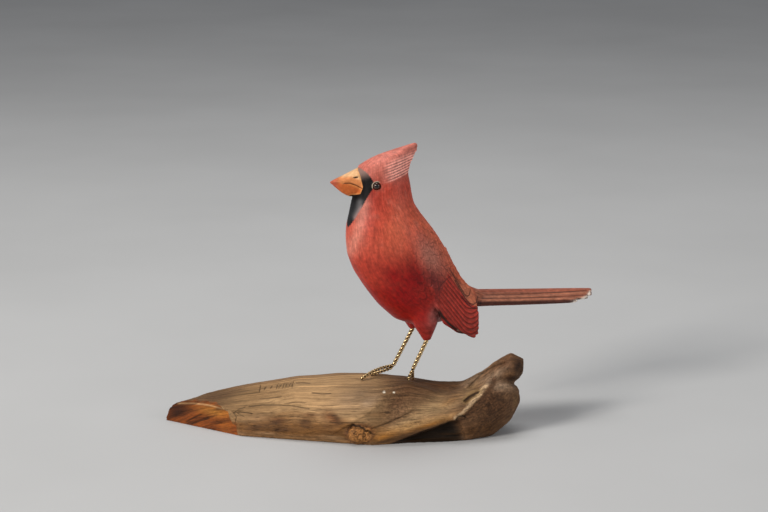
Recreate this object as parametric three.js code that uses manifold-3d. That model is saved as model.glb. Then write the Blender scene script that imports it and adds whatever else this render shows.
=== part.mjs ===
import * as THREE from 'three';
import Module from 'manifold-3d';

// A life-size songbird carving on twisted wire legs, standing on a length of driftwood.
// Millimetres, +Z up. The driftwood lies along X. The bird is laid out facing -X with its
// middle plane at y = 0, its feet near z = 35, and is then turned on the driftwood.

// Placing of the bird.
const birdTurn = 20; // degrees, whole bird on the driftwood
const birdX = 16.2;
const birdY = 5;
const headTurn = -12; // degrees, head against the body
const neckX = -14; // the head turns about this upright line
const neckLow = 150; // the turn fades in between these heights
const neckHigh = 176;
const gap = 0.3; // clearance between pieces that touch
const farAside = 80; // places clear of the whole carving, from which its skin is looked for
const farAbove = 120;
const roundSides = 14; // sides of a thigh and of the horn

// Body, head and crest: rings between a front and a back point of the middle plane.
// front and back are [x, z], half is the half width, lean moves the widest place forward
// when negative, pinch thins the back of the ring.
const ringPoints = 22;
const bodyRings = [
  { front: [-17.5, 200.9], back: [8.6, 208.8], half: 1.3, lean: -0.2, pinch: 0.2 },
  { front: [-23.4, 198.2], back: [9.9, 208.0], half: 3.6, lean: -0.35, pinch: 0.6 },
  { front: [-28.5, 195.2], back: [10.6, 206.9], half: 6.2, lean: -0.45, pinch: 0.9 },
  { front: [-32.0, 192.8], back: [9.8, 202.8], half: 9.2, lean: -0.5, pinch: 1.4 },
  { front: [-33.4, 189.0], back: [7.8, 198.6], half: 11.8, lean: -0.5, pinch: 1.4 },
  { front: [-33.6, 184.0], back: [5.4, 193.6], half: 13.4, lean: -0.45, pinch: 1.1 },
  { front: [-33.8, 179.5], back: [3.7, 187.0], half: 14.3, lean: -0.3, pinch: 0.5 },
  { front: [-34.6, 175.0], back: [5.0, 180.5], half: 15.0, lean: -0.2 },
  { front: [-36.4, 170.5], back: [6.1, 172.5], half: 16.2, lean: -0.1 },
  { front: [-37.9, 164.5], back: [7.8, 165.0], half: 18.2 },
  { front: [-39.3, 158.0], back: [11.7, 159.0], half: 20.6 },
  { front: [-41.3, 150.0], back: [15.9, 153.5], half: 23.4 },
  { front: [-41.5, 140.0], back: [20.9, 147.3], half: 25.7 },
  { front: [-40.5, 129.5], back: [25.7, 140.5], half: 27.0 },
  { front: [-35.9, 117.5], back: [30.2, 133.0], half: 27.4 },
  { front: [-27.7, 104.5], back: [33.9, 125.5], half: 26.8 },
  { front: [-17.8, 91.4], back: [37.6, 118.0], half: 25.2 },
  { front: [-5.6, 79.8], back: [41.2, 110.9], half: 22.8 },
  { front: [9.5, 73.4], back: [45.6, 104.9], half: 19.2 },
  { front: [27.0, 74.4], back: [50.4, 100.2], half: 15.0 },
  { front: [42.0, 79.5], back: [55.6, 97.2], half: 11.5 },
  { front: [54.0, 83.5], back: [61.4, 94.6], half: 8.5 },
];

// Bill: rings from the base to the tip, upper half with its cutting edge over the lower half.
const billRings = [
  { x: -28.0, top: 192.2, edge: 178.6, low: 172.8, half: 8.6 },
  { x: -33.6, top: 191.0, edge: 181.0, low: 171.7, half: 8.2 },
  { x: -38.6, top: 188.5, edge: 183.0, low: 171.1, half: 7.2 },
  { x: -43.4, top: 186.1, edge: 182.9, low: 173.5, half: 5.6 },
  { x: -47.6, top: 184.3, edge: 182.2, low: 177.0, half: 3.9 },
  { x: -50.6, top: 182.9, edge: 181.6, low: 179.8, half: 2.2 },
  { x: -52.2, top: 182.2, edge: 181.3, low: 180.9, half: 0.7 },
];
const billOverhang = 0.7; // upper edge stands this far outside the lower half
const billPoints = 12;
const nostril = { x: -34.2, z: 185.8, length: 2.6, height: 1.3, depth: 1.0 };

// Eyes: glass balls let into the head, with a carved lid around each.
const eye = { x: -20.8, z: 180.8, radius: 2.75, sunk: 1.1 };
const lid = { reach: 3.2, half: 0.65, rise: 0.9, around: 14, sides: 5 };

// Crest comb: shallow cuts that fan out towards the back edge.
const comb = { cuts: 9, startX: -10.5, startLow: 184.0, startHigh: 201.0, depth: 0.9, width: 0.9 };
const combEdge = { highX: 10.5, high: 206.6, lowX: 3.0, low: 187.6 };

// Tail: one blade down the middle and three stepped ones each side.
const tail = {
  rootX: 44.0, rootZ: 93.0, tipX: 152.0, tipZ: 86.4,
  pairs: 3, rootStep: 2.0, tipStep: 3.7, drop: 1.3,
  shorter: [0, 2.0, 7.0, 17.0], rootHalf: 4.2, tipHalf: 4.5, rootThick: 7.6, tipThick: 3.2,
};

// Wings: a surface between an upper and a lower edge, both from shoulder to tip.
// The left wing is given; the right one is its mirror image.
const wingUpper = [
  [4.5, -14, 158], [16.4, -12, 149.8], [26.2, -10.5, 138.2], [33.4, -9.5, 125],
  [39.6, -9.5, 112], [47.4, -10.5, 102.2], [54.6, -12.5, 93.4],
];
const wingLower = [
  [-4, -19.5, 154.5], [-1.8, -24.6, 144], [2, -26.8, 129], [7, -27.2, 118.5],
  [14.6, -26.4, 106], [21.5, -23.6, 88], [35.2, -20.6, 73.8], [53.0, -17.5, 62.6],
];
const wing = {
  swell: 2.6, covertEnd: 0.54, covertRise: 1.1, slabIn: 5.0, featherStart: 0.44,
  feathers: 9, featherRise: 0.85, featherTuck: 0.55, featherThick: 1.9, featherWide: 1.56,
  shorter: [0.1, 0.04, 0.015, 0, 0, 0, 0, 0.01, 0.05], backThick: 3.4,
};

// Thighs, left side; the right one is its mirror image, set a little further forward and higher.
const thigh = {
  points: [[10, -9, 99], [11.5, -11.6, 88], [13.6, -13, 77.5], [14.6, -13, 65.2]],
  halves: [8, 10.6, 9.0, 2.7], rightShift: [-1.0, 2.0],
};
const leg = {
  radius: 1.5, groove: 0.22, strands: 3, pitch: 9.3,
  socket: 5, mouth: 4, sides: 9, perTurn: 5,
};
const toe = { radius: 1.05, tip: 0.55, points: 5, sides: 5 };
// Each toe is [heading in degrees, length, arch]; a low arch drops to the driftwood early.
const feet = {
  left: { ankle: [3.5, -13, 43.8], toes: [[171, 3.6, 1], [88, 6, 1]] },
  right: { ankle: [-1.6, 13, 40.2], toes: [[213.4, 28.4, 2.6], [198.4, 17.3, 0.55]] },
};

// Driftwood: rings across the log. Each ring runs up the back, over the top and down the front
// as [y, z]; the first and last points lie below the floor and are cut off flat.
const logRings = [
  { x: -168,
    ring: [[8, -2], [9.5, 4], [8.5, 9.5], [3, 11.5], [-2, 11], [-6, 8], [-8, 4], [-8, 2], [-8, -2]] },
  { x: -146,
    ring: [[11, -2], [14, 5], [12.5, 13], [5, 14.6], [-4, 12.5],
      [-9, 8], [-13, 4], [-14, 2], [-13, -2]] },
  { x: -125,
    ring: [[13, -2], [21, 8], [19.5, 18], [7, 18.8], [-8, 15.5],
      [-15, 10], [-19, 5], [-20.5, 2], [-19.5, -2]] },
  { x: -98,
    ring: [[14, -2], [26, 11], [25, 22.6], [8, 23.4], [-12, 18],
      [-21, 12], [-25, 6], [-26.5, 3], [-24.5, -2]] },
  { x: -62,
    ring: [[12, -2], [27, 14], [26.5, 28.6], [8, 30], [-18, 25],
      [-30, 16], [-35.5, 7], [-35, 3], [-32, -2]] },
  { x: -30,
    ring: [[8, -2], [26, 16], [25.5, 31.5], [6, 32.6], [-22, 28.6],
      [-36, 19], [-42.5, 8], [-42, 3], [-39, -2]] },
  { x: -5,
    ring: [[5, -2], [26, 16], [25.5, 31.5], [3, 33], [-22, 30.2],
      [-39, 20], [-47.5, 7], [-47, 3], [-44, -2]] },
  { x: 20,
    ring: [[2, -2], [24, 15], [23.5, 28.4], [-8, 34.8], [-24, 31.4],
      [-38, 21], [-45, 10], [-40, 5], [-41, -2]] },
  { x: 44,
    ring: [[0, -2], [13, 15], [11, 29.2], [-6, 30], [-22, 27.5],
      [-33, 22], [-39.5, 16], [-36, 7], [-39, -2]] },
  { x: 62,
    ring: [[-2, -2], [9, 16], [7, 30], [-8, 30.5], [-20, 29.5],
      [-29, 29], [-35, 26], [-38, 13], [-34, -2]] },
  { x: 79,
    ring: [[-8, -1], [4, 15], [4, 31], [-6, 35], [-15, 37],
      [-22, 38], [-28, 36], [-34, 20], [-27, -0.5]] },
  { x: 93,
    ring: [[-12, 7], [-1, 15], [0, 29], [-7, 36], [-14, 38],
      [-20, 37], [-25, 33], [-28, 21], [-20, 9]] },
  { x: 101,
    ring: [[-13, 20], [-9, 21], [-8, 27], [-10, 31], [-14, 32.5],
      [-17, 31.5], [-19, 28], [-19, 24], [-16, 21]] },
];
const logSides = 22;
const hornPath = [
  [50, 1, 16], [66, 0, 24.8], [80.5, -2.5, 33.4], [90.5, -5, 41.4],
  [98, -6, 46.2], [103.8, -6.5, 46.2],
];
const hornHalf = [7, 9.8, 9.8, 10.2, 9.9, 5.4];
const endCut = { low: [-156, 10], high: [-107, -21], tilt: 16, reach: 150 }; // sawn end, from above
const knot = { x: -15, y: -43.5, z: 7, halfX: 9, halfY: 4.5, halfZ: 7.5 };

const up = new THREE.Vector3(0, 0, 1);
const wasm = await Module();
wasm.setup();

// A closed triangle mesh as a solid for joining and cutting.
function solid(points, faces) {
  let volume = 0;
  for (const [a, b, c] of faces) {
    volume += points[a].dot(new THREE.Vector3().crossVectors(points[b], points[c]));
  }
  const triVerts = new Uint32Array(faces.length * 3);
  faces.forEach(([a, b, c], i) => triVerts.set(volume < 0 ? [a, c, b] : [a, b, c], i * 3));
  const vertProperties = new Float32Array(points.length * 3);
  points.forEach((point, i) => point.toArray(vertProperties, i * 3));
  return new wasm.Manifold(new wasm.Mesh({ numProp: 3, vertProperties, triVerts }));
}

// Faces over the open end of a loft.
function capFaces(ring, first) {
  const middle = ring.reduce((sum, p) => sum.add(p), new THREE.Vector3()).divideScalar(ring.length);
  const normal = new THREE.Vector3();
  ring.forEach((p, i) => {
    const next = ring[(i + 1) % ring.length];
    normal.add(new THREE.Vector3().crossVectors(p.clone().sub(middle), next.clone().sub(middle)));
  });
  normal.normalize();
  const across = ring[0].clone().sub(middle).normalize();
  const along = new THREE.Vector3().crossVectors(normal, across);
  const flat = ring.map((p) => {
    const arm = p.clone().sub(middle);
    return new THREE.Vector2(arm.dot(across), arm.dot(along));
  });
  return THREE.ShapeUtils.triangulateShape(flat, []).map(([a, b, c]) => {
    const side = flat[b].clone().sub(flat[a]).cross(flat[c].clone().sub(flat[a]));
    return side > 0 ? [first + a, first + b, first + c] : [first + a, first + c, first + b];
  });
}

// Skin over rings of equal point count, closed at both ends.
function loft(rings) {
  const count = rings[0].length;
  const faces = capFaces(rings[0], 0).map(([a, b, c]) => [a, c, b]);
  for (let i = 0; i < rings.length - 1; i++) {
    for (let j = 0; j < count; j++) {
      const a = i * count + j;
      const b = i * count + ((j + 1) % count);
      faces.push([a, b, b + count], [a, b + count, a + count]);
    }
  }
  faces.push(...capFaces(rings[rings.length - 1], (rings.length - 1) * count));
  return solid(rings.flat(), faces);
}

function join(pieces) {
  return pieces.reduce((whole, piece) => whole.add(piece));
}

// Round wire or horn along a list of points, with a half width at each.
function rod(points, halves, sides) {
  const rings = points.map((point, i) => {
    const before = points[Math.max(i - 1, 0)];
    const after = points[Math.min(i + 1, points.length - 1)];
    const turn = new THREE.Quaternion().setFromUnitVectors(
      new THREE.Vector3(1, 0, 0), after.clone().sub(before).normalize());
    return Array.from({ length: sides }, (_, j) => {
      const angle = (j / sides) * 2 * Math.PI;
      const arm = new THREE.Vector3(0, Math.cos(angle), Math.sin(angle)).multiplyScalar(halves[i]);
      return arm.applyQuaternion(turn).add(point);
    });
  });
  return loft(rings);
}

function vectors(list) {
  return list.map((p) => new THREE.Vector3(...p));
}

function mix(from, to, share) {
  return from + (to - from) * share;
}

// Body, head and crest.
function bodyRing({ front, back, half, lean = 0, pinch = 0 }) {
  return Array.from({ length: ringPoints }, (_, i) => {
    const turn = (i / ringPoints) * 2 * Math.PI;
    const along = (1 - Math.cos(turn)) / 2;
    const share = along + lean * along * (1 - along);
    const side = Math.sin(turn);
    const width = half * Math.sign(side) * Math.abs(side) ** (1 + pinch * along);
    return new THREE.Vector3(mix(front[0], back[0], share), width, mix(front[1], back[1], share));
  });
}

function billHalf(upper) {
  const rings = billRings.map(({ x, top, edge, low, half }) => {
    const width = upper ? half : Math.max(half - billOverhang, 0.3);
    const start = upper ? edge : edge + Math.min(0.2 * (top - edge), 1);
    const end = upper ? top : low;
    return Array.from({ length: billPoints }, (_, i) => {
      const turn = (i / (billPoints - 1)) * Math.PI;
      const rise = Math.sin(turn) ** 0.8;
      return new THREE.Vector3(x, Math.cos(turn) * width, mix(start, end, rise));
    });
  });
  return loft(rings);
}

function ball(radius, place, rings, sides) {
  const points = [];
  const layers = [];
  for (let i = 0; i <= rings; i++) {
    const polar = (i / rings) * Math.PI;
    const count = i === 0 || i === rings ? 1 : sides;
    layers.push(Array.from({ length: count }, (_, j) => {
      const angle = (j / sides) * 2 * Math.PI;
      const arm = new THREE.Vector3(
        Math.sin(polar) * Math.cos(angle), Math.cos(polar), Math.sin(polar) * Math.sin(angle));
      points.push(arm.multiply(radius).add(place));
      return points.length - 1;
    }));
  }
  const faces = [];
  for (let i = 0; i < rings; i++) {
    for (let j = 0; j < sides; j++) {
      const [a, b] = [layers[i][j % layers[i].length], layers[i][(j + 1) % layers[i].length]];
      const [c, d] = [layers[i + 1][j % layers[i + 1].length], layers[i + 1][(j + 1) % layers[i + 1].length]];
      if (a !== b) faces.push([a, b, c]);
      if (c !== d) faces.push([b, d, c]);
    }
  }
  return solid(points, faces);
}

function toMesh(shape) {
  const { vertProperties, triVerts } = shape.getMesh();
  const geometry = new THREE.BufferGeometry();
  geometry.setAttribute('position', new THREE.BufferAttribute(new Float32Array(vertProperties), 3));
  geometry.setIndex(new THREE.BufferAttribute(new Uint32Array(triVerts), 1));
  return geometry;
}

// First place where a line meets a shape.
function touch(target, from, toward) {
  const caster = new THREE.Raycaster(from, toward.clone().normalize());
  const hit = caster.intersectObject(target)[0];
  return hit ? hit.point : null;
}

function sideOf(target, x, z, side) {
  return touch(target, new THREE.Vector3(x, side * farAside, z), new THREE.Vector3(0, -side, 0));
}

// Cuts of the crest comb on one side, each a wedge that deepens towards the back edge.
function combCuts(target, side) {
  return Array.from({ length: comb.cuts }, (_, i) => {
    const share = (i + 0.5) / comb.cuts;
    const start = new THREE.Vector2(comb.startX + 3 * share, mix(comb.startLow, comb.startHigh, share));
    const end = new THREE.Vector2(
      mix(combEdge.lowX, combEdge.highX, share), mix(combEdge.low, combEdge.high, share));
    const down = end.clone().sub(start).normalize().rotateAround(new THREE.Vector2(), -Math.PI / 2);
    const rings = [0, 0.5, 1.15].map((step) => {
      const at = start.clone().lerp(end, step);
      const skin = sideOf(target, at.x, at.y, side);
      const y = skin ? Math.abs(skin.y) : 0.9;
      const depth = comb.depth * Math.min(0.05 + step * 1.6, 1);
      const half = (comb.width / 2) * Math.min(0.3 + step * 1.4, 1);
      return [[0, -depth], [half, 0.5], [-half, 0.5]].map(([shift, rise]) => new THREE.Vector3(
        at.x + down.x * shift, side * Math.max(y + rise, 0.25), at.y + down.y * shift));
    });
    return loft(rings);
  });
}

// Tail blades, middle one on top and each outer pair lower, shorter and further out.
function tailBlade(place) {
  const pair = Math.abs(place);
  const stations = [0, 0.3, 0.62, 0.86, 0.94, 0.98, 1];
  const fullness = [1, 1, 1, 1, 0.86, 0.6, 0.2];
  const tipX = tail.tipX - tail.shorter[pair];
  const rings = stations.map((share, i) => {
    const half = mix(tail.rootHalf, tail.tipHalf, share) * fullness[i];
    const thick = mix(tail.rootThick, tail.tipThick, share);
    const x = mix(tail.rootX, tipX, share);
    const y = place * mix(tail.rootStep, tail.tipStep, share);
    const z = mix(tail.rootZ, tail.tipZ, (x - tail.rootX) / (tail.tipX - tail.rootX)) - tail.drop * pair;
    const outer = place === 0 ? 0.8 : 0.5;
    return [[-1, -0.1], [-0.6, 0.42], [0, 0.5], [0.6, 0.42], [1, -0.1], [0.6, -0.5], [-0.6, -0.5]].map(
      ([across, up]) => new THREE.Vector3(
        x, y + across * half, z + up * thick * (Math.abs(across) === 1 ? outer : 1)));
  });
  return loft(rings);
}

// Wing surface: share 0 is the upper edge and 1 the lower, along 0 the shoulder and 1 the tip.
const upperCurve = new THREE.CatmullRomCurve3(vectors(wingUpper));
const lowerCurve = new THREE.CatmullRomCurve3(vectors(wingLower));

function wingPoint(share, along, rise) {
  const inside = THREE.MathUtils.clamp(share, 0, 1);
  const step = 0.01;
  const at = (s, a) => upperCurve.getPointAt(a).lerp(lowerCurve.getPointAt(a), s);
  const reach = THREE.MathUtils.clamp(along, step, 1 - step);
  const across = at(1, reach).sub(at(0, reach));
  const down = at(inside, reach + step).sub(at(inside, reach - step));
  const out = new THREE.Vector3().crossVectors(across, down).normalize();
  if (out.y > 0) out.negate();
  const swell = wing.swell * 4 * inside * (1 - inside) * (1 - 0.5 * along);
  return at(inside, along).addScaledVector(across, share - inside).addScaledVector(out, swell + rise);
}

// Smooth slab over the front of the wing; it ends in a step on to the long feathers.
function wingCoverts() {
  const stations = [0, 0.07, 0.16, 0.27, 0.38, 0.47, wing.covertEnd];
  const rings = stations.map((along) => {
    const rise = wing.covertRise * THREE.MathUtils.smoothstep(along, -0.05, 0.3);
    const outer = [0, 0.06, 0.16, 0.33, 0.5, 0.67, 0.84, 0.95, 1];
    const edge = [-1.6, 0.5, 1, 1, 1, 1, 1, 0.8, -0.9];
    const skin = outer.map((share, i) => wingPoint(share, along, rise * edge[i]));
    const inner = [0.9, 0.5, 0.1].map((share) => wingPoint(share, along, -wing.slabIn));
    return [...skin, ...inner];
  });
  return loft(rings);
}

// Plain backing under the long feathers, a little wider below so that its edge shows.
function wingBacking() {
  const stations = [0.4, 0.55, 0.7, 0.84, 0.93];
  const low = [1.0, 1.06, 1.11, 1.09, 0.94];
  const rings = stations.map((along, i) => {
    const shares = [0.06, 0.3, 0.6, low[i]];
    const skin = shares.map((share) => wingPoint(share, along, -0.3));
    const inner = shares.reverse().map((share) => wingPoint(share, along, -wing.backThick));
    return [...skin, ...inner];
  });
  return loft(rings);
}

// Long feathers, each tucked under the one above it.
function wingFeather(index) {
  const stations = [wing.featherStart, 0.62, 0.8, 0.94, 0.985, 1];
  const fullness = [1, 1, 1, 1, 0.88, 0.52];
  const middle = (index + 0.5) / wing.feathers;
  const half = wing.featherWide / 2 / wing.feathers;
  const short = wing.shorter[index];
  const rings = stations.map((station, i) => {
    const along = station - short * (station - wing.featherStart);
    const wide = half * fullness[i];
    const upper = middle - wide;
    const lower = middle + wide;
    return [
      wingPoint(upper, along, -wing.featherTuck),
      wingPoint(middle, along, wing.featherRise * 0.55),
      wingPoint(mix(middle, lower, 0.7), along, wing.featherRise),
      wingPoint(lower, along, wing.featherRise * 0.7),
      wingPoint(lower, along, -0.6),
      wingPoint(middle, along, -wing.featherThick),
    ];
  });
  return loft(rings);
}

function mirrored(shape, side) {
  return side < 0 ? shape : shape.scale([1, -1, 1]);
}

function wingSolid(side) {
  const feathers = Array.from({ length: wing.feathers }, (_, i) => wingFeather(i));
  return mirrored(join([wingCoverts(), wingBacking(), ...feathers]), side);
}

function thighPoints(side) {
  const [along, rise] = side > 0 ? thigh.rightShift : [0, 0];
  return thigh.points.map(([x, y, z]) => new THREE.Vector3(x + along, -side * y, z + rise));
}

function thighSolid(side) {
  return rod(thighPoints(side), thigh.halves, roundSides);
}

function footOf(side) {
  return side < 0 ? feet.left : feet.right;
}

// Way of the leg wire, from its socket in the thigh to the ankle.
function legLine(side) {
  const end = thighPoints(side).at(-1);
  const ankle = new THREE.Vector3(...footOf(side).ankle);
  const start = end.clone().addScaledVector(end.clone().sub(ankle).normalize(), leg.socket);
  return [start, ankle];
}

function legSocket(side) {
  const [start, ankle] = legLine(side);
  const along = start.clone().sub(ankle).normalize();
  const top = start.clone().addScaledVector(along, gap);
  const low = start.clone().addScaledVector(along, -leg.socket - leg.mouth);
  return rod([top, low], [leg.radius + gap, leg.radius + gap], roundSides);
}

// Turn of the head, then of the whole bird, and its place on the driftwood.
function placed(point) {
  const share = THREE.MathUtils.smoothstep(point.z, neckLow, neckHigh);
  const neck = THREE.MathUtils.degToRad(headTurn) * share;
  const pivot = new THREE.Vector3(neckX, 0, 0);
  const moved = point.clone().sub(pivot).applyAxisAngle(up, neck).add(pivot);
  const turned = moved.applyAxisAngle(up, THREE.MathUtils.degToRad(birdTurn));
  return turned.add(new THREE.Vector3(birdX, birdY, 0));
}

function placedShape(shape) {
  return shape.warp((v) => {
    const p = placed(new THREE.Vector3(v[0], v[1], v[2]));
    v[0] = p.x;
    v[1] = p.y;
    v[2] = p.z;
  });
}

function eyeCentre(head, side) {
  const skin = sideOf(head, eye.x, eye.z, side);
  return new THREE.Vector3(eye.x, skin.y - side * eye.sunk, eye.z);
}

function lidRing(centre, side) {
  const points = [];
  const faces = [];
  for (let i = 0; i < lid.around; i++) {
    const around = (i / lid.around) * 2 * Math.PI;
    for (let j = 0; j < lid.sides; j++) {
      const turn = (j / lid.sides) * 2 * Math.PI;
      const reach = lid.reach + lid.half * Math.cos(turn);
      const out = side * (lid.rise + lid.half * Math.sin(turn));
      const arm = new THREE.Vector3(Math.cos(around) * reach, out, Math.sin(around) * reach);
      points.push(arm.add(centre));
      const [nextAround, nextTurn] = [((i + 1) % lid.around) * lid.sides, (j + 1) % lid.sides];
      const [a, b] = [i * lid.sides + j, i * lid.sides + nextTurn];
      faces.push([a, b, nextAround + nextTurn], [a, nextAround + nextTurn, nextAround + j]);
    }
  }
  return solid(points, faces);
}

const sides = [-1, 1]; // left, right
const bodySolid = loft(bodyRings.map(bodyRing));
const bodyMesh = new THREE.Mesh(toMesh(bodySolid), new THREE.MeshBasicMaterial({ side: THREE.DoubleSide }));
const eyeCentres = sides.map((side) => eyeCentre(bodyMesh, side));

const tailBlades = Array.from({ length: 2 * tail.pairs + 1 }, (_, i) => tailBlade(i - tail.pairs));
const carved = join([
  bodySolid.subtract(join(sides.flatMap((side) => combCuts(bodyMesh, side)))),
  billHalf(true),
  billHalf(false),
  ...tailBlades,
  ...sides.map(wingSolid),
  ...sides.map(thighSolid),
  ...sides.map((side, i) => lidRing(eyeCentres[i], side)),
]);

const sockets = sides.map((side, i) => {
  const half = eye.radius + gap;
  return ball(new THREE.Vector3(half, half, half), eyeCentres[i], 10, 16);
});
const billMesh = new THREE.Mesh(toMesh(billHalf(true)), bodyMesh.material);
const nostrils = sides.map((side) => {
  const skin = sideOf(billMesh, nostril.x, nostril.z, side);
  const half = new THREE.Vector3(nostril.length / 2, nostril.depth, nostril.height / 2);
  return ball(half, new THREE.Vector3(nostril.x, skin.y, nostril.z), 4, 8);
});
const bird = placedShape(carved.subtract(join([...sockets, ...nostrils, ...sides.map(legSocket)])));

// Driftwood.
function logRing({ x, ring }) {
  const curve = new THREE.CatmullRomCurve3(vectors(ring.map(([y, z]) => [x, y, z])), true, 'centripetal');
  return curve.getPoints(logSides).slice(0, logSides);
}

function block(low, high) {
  const corners = [];
  for (const x of [low[0], high[0]]) {
    for (const y of [low[1], high[1]]) {
      for (const z of [low[2], high[2]]) corners.push(new THREE.Vector3(x, y, z));
    }
  }
  const faces = [
    [0, 1, 3], [0, 3, 2], [4, 6, 7], [4, 7, 5], [0, 4, 5], [0, 5, 1],
    [2, 3, 7], [2, 7, 6], [0, 2, 6], [0, 6, 4], [1, 5, 7], [1, 7, 3],
  ];
  return solid(corners, faces);
}

// The waste that the saw took off the left end.
function endWaste() {
  const run = new THREE.Vector2(...endCut.high).sub(new THREE.Vector2(...endCut.low));
  const heading = THREE.MathUtils.radToDeg(Math.atan2(run.y, run.x));
  return block([-endCut.reach, -endCut.reach, -endCut.reach], [endCut.reach, 0, endCut.reach])
    .rotate([-endCut.tilt, 0, 0])
    .rotate([0, 0, heading])
    .translate([endCut.low[0], endCut.low[1], 0]);
}

const knotHalf = new THREE.Vector3(knot.halfX, knot.halfY, knot.halfZ);
const rawLog = join([
  loft(logRings.map(logRing)),
  rod(vectors(hornPath), hornHalf, roundSides),
  ball(knotHalf, new THREE.Vector3(knot.x, knot.y, knot.z), 6, 12),
]);
const floorHalf = 300;
const underFloor = block([-floorHalf, -floorHalf, -floorHalf], [floorHalf, floorHalf, 0]);
const log = rawLog.subtract(underFloor).subtract(endWaste());
const logMesh = new THREE.Mesh(toMesh(log), bodyMesh.material);

// Legs: three wires twisted together, then spread into toes that lie on the driftwood.
function twistedRod(from, to) {
  const length = from.distanceTo(to);
  const steps = Math.ceil((length / leg.pitch) * leg.perTurn);
  const turn = new THREE.Quaternion().setFromUnitVectors(up, to.clone().sub(from).normalize());
  const rings = Array.from({ length: steps + 1 }, (_, i) => Array.from({ length: leg.sides }, (_, j) => {
    const twist = (i / leg.perTurn) * 2 * Math.PI;
    const angle = (j / leg.sides) * 2 * Math.PI;
    const half = leg.radius - leg.groove + leg.groove * Math.cos(leg.strands * angle);
    const arm = new THREE.Vector3(Math.cos(angle + twist) * half, Math.sin(angle + twist) * half, 0);
    return arm.applyQuaternion(turn).add(from.clone().lerp(to, i / steps));
  }));
  return loft(rings);
}

function toeSolid(ankle, heading, length, arch) {
  const angle = THREE.MathUtils.degToRad(heading);
  const reach = new THREE.Vector3(Math.cos(angle), Math.sin(angle), 0);
  const halves = [];
  const points = Array.from({ length: toe.points }, (_, i) => {
    const share = i / (toe.points - 1);
    const half = mix(toe.radius, toe.tip, share ** 2);
    halves.push(half);
    const place = ankle.clone().addScaledVector(reach, length * share);
    const ground = touch(logMesh, place.clone().setZ(farAbove), up.clone().negate());
    place.z = mix(ankle.z, ground.z + half + gap, share ** arch);
    return place;
  });
  return rod(points, halves, toe.sides);
}

function legSolid(side) {
  const [start, ankle] = legLine(side).map(placed);
  return join([twistedRod(start, ankle), ...footOf(side).toes.map((way) => toeSolid(ankle, ...way))]);
}

const legs = sides.map(legSolid);
const eyes = eyeCentres.map((centre) => placedShape(
  ball(new THREE.Vector3(eye.radius, eye.radius, eye.radius), centre, 8, 14)));

// One group, with the middle of its box at x = 0, y = 0 and its underside at z = 0.
const paint = new THREE.MeshStandardMaterial({ color: 0xa8423a, roughness: 0.7 });
const glass = new THREE.MeshStandardMaterial({ color: 0x15100e, roughness: 0.1 });
const brass = new THREE.MeshStandardMaterial({ color: 0xb98f45, metalness: 1, roughness: 0.35 });
const wood = new THREE.MeshStandardMaterial({ color: 0x8d7456, roughness: 0.85 });

const group = new THREE.Group();
function add(name, shape, material) {
  const mesh = new THREE.Mesh(toMesh(shape), material);
  mesh.name = name;
  group.add(mesh);
}
add('bird', bird, paint);
add('eye_left', eyes[0], glass);
add('eye_right', eyes[1], glass);
add('leg_left', legs[0], brass);
add('leg_right', legs[1], brass);
add('driftwood_base', log, wood);

const box = new THREE.Box3().setFromObject(group);
const middle = box.getCenter(new THREE.Vector3());
for (const mesh of group.children) mesh.geometry.translate(-middle.x, -middle.y, -box.min.z);

export default group;
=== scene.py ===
import math
from itertools import product

import bpy
import numpy as np
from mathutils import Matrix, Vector
from mathutils.bvhtree import BVHTree
from mathutils.kdtree import KDTree


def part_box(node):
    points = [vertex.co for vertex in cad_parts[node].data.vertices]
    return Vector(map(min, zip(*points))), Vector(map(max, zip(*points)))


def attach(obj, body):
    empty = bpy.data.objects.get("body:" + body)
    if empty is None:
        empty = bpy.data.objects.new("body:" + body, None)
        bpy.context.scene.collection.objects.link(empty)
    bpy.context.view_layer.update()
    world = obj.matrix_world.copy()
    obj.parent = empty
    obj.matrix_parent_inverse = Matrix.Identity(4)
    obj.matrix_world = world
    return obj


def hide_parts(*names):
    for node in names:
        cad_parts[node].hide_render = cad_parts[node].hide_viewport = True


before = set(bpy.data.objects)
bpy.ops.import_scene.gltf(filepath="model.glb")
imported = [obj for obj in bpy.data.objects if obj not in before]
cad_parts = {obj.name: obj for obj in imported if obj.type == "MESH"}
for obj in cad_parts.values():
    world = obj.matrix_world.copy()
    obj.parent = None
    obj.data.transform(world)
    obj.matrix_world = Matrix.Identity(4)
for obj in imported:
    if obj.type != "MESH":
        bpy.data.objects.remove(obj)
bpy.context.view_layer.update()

# A carved and painted songbird on twisted wire legs, standing on a length of driftwood.
# Blender works in metres. Sizes below are in millimetres, and mm turns them into metres.
# The bird has a frame of its own, as it was laid out before it was turned on the driftwood:
# it faces -X, its middle plane is y = 0 and its left side is -Y.

mm = 0.001


# Picking and shaping

def clearPick():
    if bpy.context.object and bpy.context.object.mode != "OBJECT":
        bpy.ops.object.mode_set(mode="OBJECT")
    bpy.ops.object.select_all(action="DESELECT")


def pick(piece):
    clearPick()
    piece.select_set(True)
    bpy.context.view_layer.objects.active = piece


def applied(piece, kind, **settings):  # adds a modifier and applies it
    pick(piece)
    modifier = piece.modifiers.new(kind.lower(), kind)
    for name, value in settings.items():
        setattr(modifier, name, value)
    bpy.ops.object.modifier_apply(modifier=modifier.name)


def copyOfNode(node, name):  # a merged copy of a CAD node, to be worked on
    piece = bpy.data.objects.new(name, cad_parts[node].data.copy())
    bpy.context.scene.collection.objects.link(piece)
    piece.data.materials.clear()
    pick(piece)
    bpy.ops.object.mode_set(mode="EDIT")
    bpy.ops.mesh.select_all(action="SELECT")
    bpy.ops.mesh.remove_doubles(threshold=0.002 * mm)
    bpy.ops.object.mode_set(mode="OBJECT")
    return piece


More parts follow.
